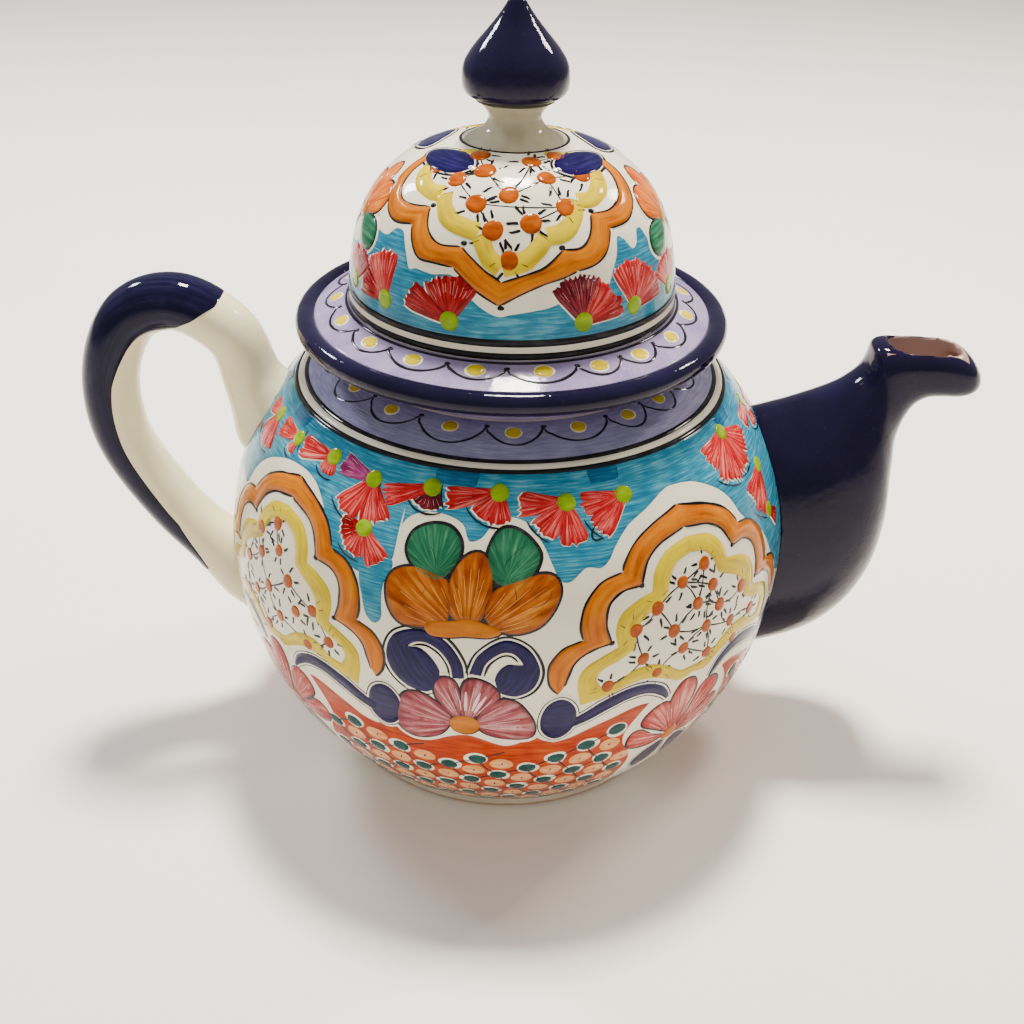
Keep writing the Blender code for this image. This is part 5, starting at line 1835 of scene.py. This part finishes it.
@dataclass
class PotPainting:
    """Everything painted on the outside of the pot. The back repeats the front."""

    painter: Painter
    cartouche_axes: tuple = (-50.0, 37.5)
    bouquet_axis: float = -7.0
    black_low: tuple = (130.9, 132.4)
    white: tuple = (132.4, 134.2)
    black_high: tuple = (134.2, 135.7)
    net_low: float = 3.4
    net_turn: float = 360.0 / 23.0     # degrees from one net dot to the next in its row
    net_rise: float = 4.5              # mm between rows of net dots

    def paint(self) -> None:
        """Paint the grounds first, then the motifs of both sides."""
        self.paint_grounds()
        self.paint_net()
        self.paint_shoulder()
        for turn in (0.0, 180.0):
            self.paint_garland(turn)
            Bouquet(self.painter, self.bouquet_axis + turn).paint()
            for axis, dots, narrow in zip(self.cartouche_axes, (SIDE_DOTS, FRONT_DOTS), (0.94, 1.0)):
                Cartouche(self.painter, axis + turn, dots, narrow).paint()

    def paint_grounds(self) -> None:
        """The turquoise above, with its drip and darker patches, and the orange below."""
        turquoise = [(-80, 100), (-74, 100.5), (-70, 101), (-68, 108), (-64, 113.5), (-57, 117.5),
                     (-50, 118.5), (-45, 117), (-41, 113), (-39, 109), (-38, 104), (-36, 101.5),
                     (-32, 101.5), (-28, 100), (-22.5, 104), (-21.5, 115), (-18, 119), (-13, 119.5),
                     (-9, 117.5), (-7.5, 113.5), (-5, 114.5), (-3, 118), (0, 120), (4, 118.5), (7, 113),
                     (8.5, 108), (10, 103.5), (12, 103), (15, 106), (18, 105.5), (20, 107.5), (21.5, 110.5),
                     (25, 115), (30, 118), (35, 121), (38, 121.5), (44, 120), (50, 115), (53, 110),
                     (54.5, 105), (57, 101), (60, 98), (63, 90), (65, 83), (67, 78), (72, 73), (76, 72),
                     (82, 74), (90, 84), (96, 95)]
        theta, low = band_edge(turquoise, 6)
        top = np.full(len(theta), 131.3)
        self.painter.strip(TURQUOISE, np.stack([theta, low], axis=1), np.stack([theta, top], axis=1),
                           Layer.WASH, wrap=True, level=True)
        for turn in (0.0, 180.0):
            drip = [(-28.6, 104), (-28.4, 99), (-27.3, 94.5), (-26.0, 89.5), (-24.2, 87.6), (-22.9, 89.5),
                    (-23.2, 94), (-23.2, 99), (-21.8, 105), (-25, 106)]
            outline = smooth_curve(mirrored(drip, turn, False), 4, closed=True)
            self.painter.pad(TURQUOISE, outline, Layer.STAIN)
            for start, end in ((-16.5, -7.0), (18.5, 25.5), (-66.0, -58.0), (62.0, 70.0), (88.0, 97.0)):
                patch = [(start, 127.2), (end, 127.4), (end + 0.6, 130.9), (start - 0.4, 130.9)]
                self.painter.pad(DEEP_BLUE, mirrored(patch, turn, False), Layer.STAIN)
        orange = [(-82, 55), (-80, 53), (-77.5, 52.3), (-75, 53.5), (-71, 56.5), (-67, 58.8), (-62, 61),
                  (-58, 60), (-50, 58), (-42, 60), (-38, 60.4), (-33, 57.6), (-29.5, 54.8), (-28, 53.5),
                  (-25, 52.5), (-22.5, 54.3), (-20.7, 55.1), (-19.5, 53), (-17, 50.6), (-14, 50.8),
                  (-10, 54), (-7, 55.3), (-4.5, 54.3), (-0.5, 51.6), (2, 52), (5.5, 55), (7.5, 53.3),
                  (10, 52.4), (12.5, 53.5), (16.5, 56.5), (20.5, 58.8), (25.5, 61), (30, 60), (37.5, 58),
                  (45, 60), (49.5, 61), (54.5, 58.8), (58.5, 56.5), (62.5, 53.5), (65, 52.3), (67.5, 53),
                  (69.5, 55), (76, 54), (84, 56), (92, 54)]
        self.orange_edge = band_edge(orange, 6)
        theta, high = self.orange_edge
        low_edge = np.stack([theta, np.full(len(theta), self.net_low)], axis=1)
        self.painter.strip(EMBER, low_edge, np.stack([theta, high], axis=1), Layer.WASH,
                           wrap=True, level=True)
        self.painter.ring(INK, self.net_low - 0.5, self.net_low + 0.3, Layer.KEYLINE)

    def paint_net(self) -> None:
        """A net of teal dots with white halos, joined by thin arcs, over pale scales.

        Dot m of row n stands at (-5.2 + 5.75 n + m net turns, 44 + n rises).
        """
        painter, rng = self.painter, self.painter.rng
        step_up, step_down = (5.75, self.net_rise), (self.net_turn - 2.0 * 5.75, -2.0 * self.net_rise)
        for n in range(-8, 4):
            s = 44.0 + self.net_rise * n
            size = painter.ware.per_degree(s) / painter.ware.per_degree(66.0)
            for m in range(23):
                theta = -5.2 + 5.75 * n + self.net_turn * m
                theta = (theta + 180.0) % 360.0 - 180.0
                if not self.in_band(theta, s, 3.6):
                    continue
                cell = (theta + (step_up[0] + step_down[0]) / 2.0, s - self.net_rise / 2.0)
                if self.in_band(cell[0], cell[1], 4.0):
                    painter.pad(PEACH, painter.oval(cell, 3.5 * size, 2.9, 0.1), Layer.STAIN)
                    dash = painter.spread(cell, [(-0.2, -0.8), (0.1, 0.8)])
                    painter.stroke(INK, dash, 0.55, Layer.MARK, taper=0.3)
                for step in (step_up, step_down):
                    end = (theta + step[0], s + step[1])
                    if not self.in_band(end[0], end[1], 1.0):
                        continue
                    bend = rng.uniform(0.35, 1.1) * (1.0 if step is step_up else -1.0)
                    middle = (theta + step[0] / 2.0 + bend * 0.5, s + step[1] / 2.0 + bend)
                    painter.stroke(INK, smooth_curve([(theta, s), middle, end], 5), 0.6,
                                   Layer.MARK, unsteady=0.4)
                around = painter.oval((theta, s), 3.5 * size, 3.1, 0.2)
                painter.pad(RESERVE, around, Layer.HALO)
                painter.pad(TEAL, painter.oval((theta, s), 2.6 * size, 2.35, 0.12), Layer.DOT)

    def in_band(self, theta: float, s: float, margin: float) -> bool:
        """Whether a place lies in the orange and clear of the flowers' white reserve.

        Args:
            theta: Degrees from the front.
            s: Distance up the ware, mm.
            margin: Distance kept from the orange's upper edge, mm.

        Returns:
            True if it does.
        """
        angles, high = self.orange_edge
        edge = float(np.interp(theta, angles, high, period=360.0))
        clear = all(abs((theta - axis - turn + 180.0) % 360.0 - 180.0) > 11.6 + max(0.0, (s - 40.0) * 0.15)
                    for axis in self.cartouche_axes for turn in (0.0, 180.0))
        return self.net_low + 2.0 < s < edge - margin and clear

    def paint_shoulder(self) -> None:
        """Lilac above the rings, with black scallops that hang from it and yellow dots in them."""
        painter = self.painter
        painter.ring(LILAC, self.black_high[0], 148.9, Layer.WASH)
        for low, high in (self.black_low, self.black_high):
            painter.ring(INK, low, high, Layer.LINE)
        painter.ring(RESERVE, *self.white, Layer.MARK)
        cusps = [-70, -49, -29, -7, 10.5, 32, 47, 63, 82, 101, 120, 139, 157, 176, 195, 214, 233, 252, 271,
                 290]
        scallops(painter, cusps, 147.2, 140.2, 145.2, (2.1, 1.75))

    def paint_garland(self, turn: float) -> None:
        """Red fans strung on lime dots under the rings.

        Args:
            turn: 0 for the front, 180 for the back.
        """
        painter = self.painter
        bunches = [
            ((-71.5, 123.5), [(RED, 186, 34, 9.5), (RED, 268, 80, 10)]),
            ((-57.5, 124.0), [(RED, 186, 34, 11), (RED, 255, 50, 5)]),
            ((-43.5, 125.5), [(RED, 189, 30, 13), (RED, 265, 80, 5)]),
            ((-30.8, 124.2), [(PLUM, 174, 34, 11), (RED, 241, 42, 11.5), (RED, 290, 46, 11)]),
            ((-29.5, 111.5), [(CRIMSON, 195, 60, 7), (RED, 255, 56, 7.5), (RED, 308, 44, 9.5)]),
            ((-16.8, 125.8), [(RED, 201, 28, 12.5), (MAROON, 264, 100, 5.6)]),
            ((-1.8, 126.2), [(RED, 191, 28, 13), (RED, 252, 84, 7.6)]),
            ((12.5, 123.3), [(RED, 180, 34, 11.5), (RED, 228, 46, 9.5), (RED, 276, 40, 10.5)]),
            ((25.6, 123.0), [(RED, 184, 34, 11.5), (RED, 222, 38, 11)]),
            ((61.5, 126.5), [(RED, 199, 38, 12), (RED, 243, 44, 13.5), (RED, 283, 32, 12.5),
                             (RED, 323, 40, 11.5)]),
            ((69.5, 110.5), [(RED, 202, 32, 12), (RED, 236, 38, 13.5)]),
            ((67.0, 97.5), [(CRIMSON, 318, 40, 8)]),
            ((84.0, 123.5), [(RED, 190, 32, 11), (RED, 262, 70, 8)]),
            ((96.0, 121.0), [(RED, 190, 32, 10), (RED, 275, 60, 10)]),
        ]
        for (theta, s), fans in bunches:
            hub = (theta + turn, s)
            for number, (pigment, direction, spread, length) in enumerate(fans):
                fan(painter, pigment, hub, direction, spread * 1.06, length * 1.06,
                    lined=number == 1 or length > 12.4)
            painter.pad(LIME, painter.oval(hub, 2.45, 2.4), Layer.DOT)
        curl = smooth_curve([(20.6 + turn, 117.4), (18.6 + turn, 117.0), (17.0 + turn, 114.8),
                             (17.4 + turn, 112.8),
                             (19.6 + turn, 113.2)], 5)
        painter.stroke(INK, curl, 0.5, Layer.LINE, unsteady=0.4, taper=0.2)


def scallops(painter: Painter, cusps: list, cusp_s: float, low_s: float, dot_s: float, dot: tuple) -> None:
    """Black arcs that hang between cusps round the ware, a yellow dot in each.

    Args:
        painter: Who paints them.
        cusps: Angles of the cusps, degrees, once round.
        cusp_s: Distance up the ware of the cusps, mm.
        low_s: The same for the arcs' middles.
        dot_s: The same for the dots.
        dot: Half sizes of a dot, mm.
    """
    rng = painter.rng
    for start, end in zip(cusps, cusps[1:]):
        share = np.linspace(0.0, 1.0, 25)
        sag = np.abs(np.sin(np.pi * share)) ** 0.62 * (1.0 + rng.uniform(-0.08, 0.08))
        hook = 0.10 * (cusp_s - low_s) * (share < 0.06)
        arc = np.stack([start + (end - start) * share, cusp_s + (low_s - cusp_s) * sag - hook], axis=1)
        painter.stroke(INK, arc, 0.72, Layer.LINE, unsteady=0.3, taper=0.05)
        knob = (start + rng.uniform(-0.3, 0.3), cusp_s - 0.3)
        painter.pad(INK, painter.oval(knob, 0.8, 0.55, 0.2), Layer.LINE)
        middle = ((start + end) / 2.0 + rng.uniform(-0.8, 0.8), dot_s + rng.uniform(-0.3, 0.3))
        painter.pad(RESERVE, painter.oval(middle, dot[0] + 0.35, dot[1] + 0.3, 0.12), Layer.HALO)
        painter.pad(YELLOW, painter.oval(middle, *dot, 0.08), Layer.FILL)


@dataclass
class LidPainting:
    """Everything painted on the lid: two hanging cartouches, with flowers between them."""

    painter: Painter

    def paint(self) -> None:
        """Paint the rings and grounds, then the motifs."""
        painter = self.painter
        cusps = [-58, -40, -19, -1, 20.5, 35.5, 50, 69, 88, 108, 128, 147, 166, 186, 205, 224, 243, 262, 282,
                 302]
        scallops(painter, cusps, 10.8, 6.0, 9.3, (2.5, 1.9))
        knots = [(-60, 40), (-52, 39.5), (-48, 42), (-44, 42), (-42, 40), (-39, 36), (-37, 33.5), (-34, 34),
                 (-28, 33.5), (-24, 34), (-20, 34), (-16, 31), (-12, 28), (-8, 26), (-4, 24.8), (0, 25.5),
                 (8, 26.5), (14, 27.5), (30, 32), (33, 30), (36, 34), (39, 38), (41, 42), (44, 41), (47, 38),
                 (50, 39), (52, 42), (55, 42), (58, 38), (68, 33), (80, 31), (92, 33), (104, 32), (112, 36)]
        theta, high = band_edge(knots, 5)
        painter.strip(TURQUOISE, np.stack([theta, np.full(len(theta), 18.0)], axis=1),
                      np.stack([theta, high], axis=1), Layer.WASH, wrap=True, level=True)
        for low, top in ((12.0, 12.9), (13.5, 15.3), (16.9, 19.0), (73.0, 73.9), (76.2, 77.4)):
            painter.ring(INK, low, top, Layer.LINE)
        for turn in (0.0, 180.0):
            self.paint_flowers(turn)
            self.paint_cartouche(turn)
        for axis in (78.0, 282.0):
            self.paint_side_motif(axis)

    def paint_flowers(self, turn: float) -> None:
        """Dark red fans that rise from lime dots.

        Args:
            turn: 0 for the front, 180 for the back.
        """
        bunches = [
            ((-46.5, 23.5), [(RED, 112, 70, 12), (CRIMSON, 168, 40, 12)]),
            ((-20.3, 22.5), [(CRIMSON, 158, 34, 13), (CRIMSON, 92, 80, 11)]),
            ((23.8, 22.5), [(MAROON, 100, 70, 11.5), (RED, 40, 50, 11), (CRIMSON, 12, 26, 12)]),
            ((44.5, 23.5), [(RED, 98, 56, 11.5), (RED, 45, 44, 11), (CRIMSON, 14, 30, 12)]),
            ((68.0, 23.5), [(RED, 120, 60, 9), (RED, 55, 60, 9)]),
            ((112.0, 23.5), [(RED, 120, 60, 9), (CRIMSON, 60, 50, 10)]),
        ]
        for (theta, s), fans in bunches:
            hub = (theta + turn, s)
            for pigment, direction, spread, length in fans:
                fan(self.painter, pigment, hub, direction, spread * 1.1, length * 1.05, lined=False)
            self.painter.pad(LIME, self.painter.oval(hub, 2.6, 2.6), Layer.DOT)

    def paint_cartouche(self, turn: float) -> None:
        """A hanging frame: orange lobes, a yellow band inside them, and a net of rust dots.

        Args:
            turn: 0 for the front, 180 for the back.
        """
        painter = self.painter
        lobes = [
            ([(-4.3, 27.6), (-12, 31), (-17, 34), (-20.5, 36)],
             [(-3.6, 33.4), (-9, 35.8), (-14, 38.6), (-18.4, 41.2)]),
            ([(-20.5, 36), (-28, 36.3), (-34, 36.6), (-38, 39.6), (-41.2, 44.2)],
             [(-18.4, 41.2), (-26, 40.9), (-31, 42.4), (-34.4, 45.6), (-36.2, 49.8)]),
            ([(-41.2, 44.2), (-50, 43.4), (-57, 45), (-63, 49), (-68, 56), (-70, 64)],
             [(-36.2, 49.8), (-45, 48.9), (-53, 49.4), (-58.5, 52), (-62, 57), (-63, 64)]),
            ([(-4.3, 27.6), (3, 30.6), (10, 32.8), (17, 34.2), (22.5, 35.5)],
             [(-3.6, 33.4), (4, 35.2), (11, 37), (18, 41)]),
            ([(22.5, 35.5), (30, 36.6), (35.5, 39.6), (39, 44.4)],
             [(18, 41), (25, 41), (29.6, 44), (32.6, 49.2)]),
            ([(39, 44.4), (49, 45), (57, 48), (62, 52), (67, 58), (69, 64)],
             [(32.6, 49.2), (42, 49), (50, 51), (56, 54.5), (60, 59), (61, 64)]),
        ]
        edges = []
        for side in (0, 1):
            left, right = ([mirrored(lobe[side], turn, False) for lobe in group]
                           for group in (lobes[:3], lobes[3:]))
            edges.append(np.vstack([lobed(left, 26)[:0:-1], lobed(right, 26)]))
        painter.strip(ORANGE, edges[0], edges[1], Layer.FILL)
        for lobe in lobes:
            for edge in lobe:
                painter.stroke(INK, smooth_curve(mirrored(edge, turn, False), 6), 0.55,
                               Layer.LINE, unsteady=0.5,
                               taper=0.06)
        for spot in ((-17.6, 42.2), (-35.2, 50.4), (17.6, 41.6), (33.4, 49.8), (-3.6, 27.0)):
            painter.pad(INK, painter.oval((spot[0] + turn, spot[1]), 0.9, 0.6, 0.2), Layer.LINE)
        band = [[(-3.6, 36.8), (-8.4, 39.4), (-12.2, 45.0)],
                [(-12.4, 45.4), (-19, 46.2), (-25.5, 47.6), (-30, 51), (-32.6, 54.6)],
                [(-32.6, 54.2), (-40, 54.0), (-48, 55.6), (-54, 59.6), (-56, 66)],
                [(-3.6, 36.8), (3.4, 38.4), (8.6, 41.4), (12.2, 44.6)],
                [(12.2, 44.6), (18.5, 45.2), (24, 48), (28.4, 53.6)],
                [(28.4, 53.4), (36, 53.0), (44, 55.6), (50, 60.4), (51, 66)]]
        for path in band:
            painter.stroke(YELLOW, smooth_curve(mirrored(path, turn, False), 7), 4.6,
                           Layer.FILL, unsteady=0.10)
        for side in (-1.0, 1.0):
            top = smooth_curve([(turn - 2.0 + side * 53, 66), (turn - 2.0 + side * 45, 70.2),
                                (turn - 2.0 + side * 30, 71.8)], 6)
            painter.stroke(YELLOW, top, 3.0, Layer.FILL, unsteady=0.15, taper=0.1)
        dots = [(-1, 38.9), (-7.5, 46.2), (6.8, 48.2), (-16.5, 53), (-2, 56), (22.5, 52), (-31, 59.5),
                (-17.5, 64), (18, 61.5), (40, 61), (-48.5, 62), (13, 68.4), (-30, 70.2), (36, 70.0)]
        for theta, s in dots:
            whiskered_dot(painter, (theta + turn, s), painter.rng.uniform(2.4, 2.9),
                          int(painter.rng.integers(5, 8)))
        for start, end in ((3, 5), (5, 2), (1, 3), (4, 8), (3, 6), (6, 7), (7, 4), (4, 11), (8, 5), (8, 9),
                           (6, 10), (11, 13),
                           (7, 12)):
            path = np.array([dots[start], dots[end]]) + (turn, 0.0)
            painter.stroke(INK, path, 0.42, Layer.STAIN, unsteady=0.4)

    def paint_side_motif(self, axis: float) -> None:
        """Orange petals over green leaves at the side, between two navy leaves.

        Args:
            axis: Where it stands, degrees.
        """
        painter = self.painter
        hub = (axis, 41.0)
        for direction, length in ((40.0, 14.0), (140.0, 14.0), (90.0, 16.0)):
            outline = painter.spread(hub, petal_outline(length, 4.8, direction, 0.3))
            painter.keyed_pad(EMBER_PETAL, outline, hub, key=0.6, halo=0.8)
            painter.rays(SPARK_GOLD, hub, outline, 4, 0.6, (0.35, 0.85))
        for side in (-1.0, 1.0):
            leaf = petal_outline(12.5, 4.2, 90.0 - side * 112.0, 0.3)
            painter.keyed_pad(LEAF, painter.spread((axis + side * 3.0, 40.0), leaf), key=0.6, halo=0.8)
            navy = smooth_curve([(-8.4, 0.0), (-4.8, 4.2), (2.4, 4.6), (8.2, 2.2), (9.6, -0.9), (3.6, -4.2),
                                 (-4.8, -4.2)], 4, closed=True)
            outline = painter.spread((axis + side * 30.0, 65.0), navy * (-side, 1.0))
            painter.keyed_pad(NAVY, outline, key=0.6, reveal=0.4, layer=Layer.MARK)
        painter.pad(MUSTARD, painter.oval(hub, 3.2, 2.4), Layer.DOT)


# ---- the studio ---------------------------------------------------------------------------------
@dataclass(frozen=True)
class Viewpoint:
    """A camera in front of the pot that looks down on it."""

    lens: float = 43.94           # mm, on a 36 mm sensor
    distance: float = 336.9 * MM
    height: float = 280.9 * MM
    pitch: float = math.radians(31.69)
    roll: float = math.radians(1.175)
    pan: float = math.radians(0.222)

    def build(self, axis_x: float) -> None:
        """Set the camera up and make it the scene's.

        Args:
            axis_x: Where the pot's axis stands, metres.
        """
        data = bpy.data.cameras.new("camera")
        data.lens = self.lens
        data.sensor_width = 36.0
        data.clip_start = 0.01
        camera = bpy.data.objects.new("camera", data)
        bpy.context.scene.collection.objects.link(camera)
        right = np.array([math.cos(self.pan), -math.sin(self.pan), 0.0])
        ahead = np.array([math.sin(self.pan), math.cos(self.pan), 0.0])
        up = np.array([0.0, 0.0, 1.0])
        forward = ahead * math.cos(self.pitch) - up * math.sin(self.pitch)
        upward = ahead * math.sin(self.pitch) + up * math.cos(self.pitch)
        x = right * math.cos(self.roll) + upward * math.sin(self.roll)
        y = -right * math.sin(self.roll) + upward * math.cos(self.roll)
        turned = Matrix([[x[i], y[i], -forward[i]] for i in range(3)]).to_4x4()
        turned.translation = (axis_x, -self.distance, self.height)
        camera.matrix_world = turned
        bpy.context.scene.camera = camera


@dataclass(frozen=True)
class Softbox:
    """A square area light that faces the pot."""

    name: str
    place: tuple
    size: float
    power: float
    colour: tuple = (1.0, 0.98, 0.95)
    target: tuple = (0.0, 0.0, 0.08)
    mirrored: bool = True         # whether the glaze shows its reflection

    def build(self) -> None:
        """Hang the light."""
        data = bpy.data.lights.new(self.name, "AREA")
        data.shape = "SQUARE"
        data.size = self.size
        data.energy = self.power
        data.color = self.colour
        light = bpy.data.objects.new(self.name, data)
        light.visible_glossy = self.mirrored
        bpy.context.scene.collection.objects.link(light)
        away = np.array(self.place) - np.array(self.target)
        away /= np.linalg.norm(away)
        side = np.cross([0.0, 1.0, 0.0] if abs(away[2]) > 0.95 else [0.0, 0.0, 1.0], away)
        side /= np.linalg.norm(side)
        up = np.cross(away, side)
        turned = Matrix([[side[i], up[i], away[i]] for i in range(3)]).to_4x4()
        turned.translation = self.place
        light.matrix_world = turned


def build_floor() -> None:
    """A wide pale sheet of paper under the pot."""
    size = 9.0
    corners = np.array([[-size, -size, 0.0], [size, -size, 0.0], [size, size, 0.0], [-size, size, 0.0]])
    mesh = bpy.data.meshes.new("floor")
    mesh.from_pydata(corners.tolist(), [], [(0, 1, 2, 3)])
    floor = bpy.data.objects.new("floor", mesh)
    bpy.context.scene.collection.objects.link(floor)
    recipe = Recipe("pale_paper")
    place = recipe.node("ShaderNodeTexCoord").outputs["Object"]
    colour = recipe.ramp(recipe.noise(place, 6.0, 3.0),
                         [(0.3, (0.91, 0.875, 0.825)), (0.7, (0.94, 0.90, 0.85))])
    recipe.feed(recipe.shader.inputs["Base Color"], colour)
    recipe.shader.inputs["Roughness"].default_value = 0.75
    mesh.materials.append(recipe.material)


def build_studio(axis_x: float) -> None:
    """Floor, sky, lights and camera.

    Args:
        axis_x: Where the pot's axis stands, metres.
    """
    build_floor()
    world = bpy.data.worlds.new("studio")
    world.use_nodes = True
    background = world.node_tree.nodes["Background"]
    background.inputs["Color"].default_value = (0.90, 0.89, 0.87, 1.0)
    background.inputs["Strength"].default_value = 0.42
    bpy.context.scene.world = world
    for box in (
        Softbox("main", (0.02, 0.39, 1.36), 0.22, 50.0, (1.0, 0.945, 0.84)),
        Softbox("back_left", (-0.95, 0.70, 0.95), 0.18, 13.0, (0.88, 0.93, 1.0)),
        Softbox("back_right", (1.0, 0.62, 1.0), 0.18, 12.0, (1.0, 0.90, 0.76)),
        Softbox("front_fill", (0.10, -1.7, 1.7), 2.0, 13.0, (1.0, 0.93, 0.80), mirrored=False),
    ):
        box.build()
    Viewpoint().build(axis_x)


def main() -> None:
    """Build the teapot and its studio, and report each piece."""
    logging.basicConfig(level=logging.INFO, format="%(message)s")
    low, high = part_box("foot_ring")
    pot = Pot(axis_x=(low[0] + high[0]) / 2.0)
    rng = np.random.default_rng(SEED)
    pot.build()
    Handle(pot).build(rng)
    Spout(pot).build()
    lid = Lid(pot)
    lid.build()
    pot_painter = Painter(pot.ware(), "pot", rng)
    PotPainting(pot_painter).paint()
    pot_painter.pieces("pot", "painted_white_glaze")
    lid_painter = Painter(lid.ware(), "lid", rng)
    LidPainting(lid_painter).paint()
    lid_painter.pieces("lid", "dome_painted_glaze")
    build_studio(pot.axis_x)


if __name__ == "__main__":
    main()
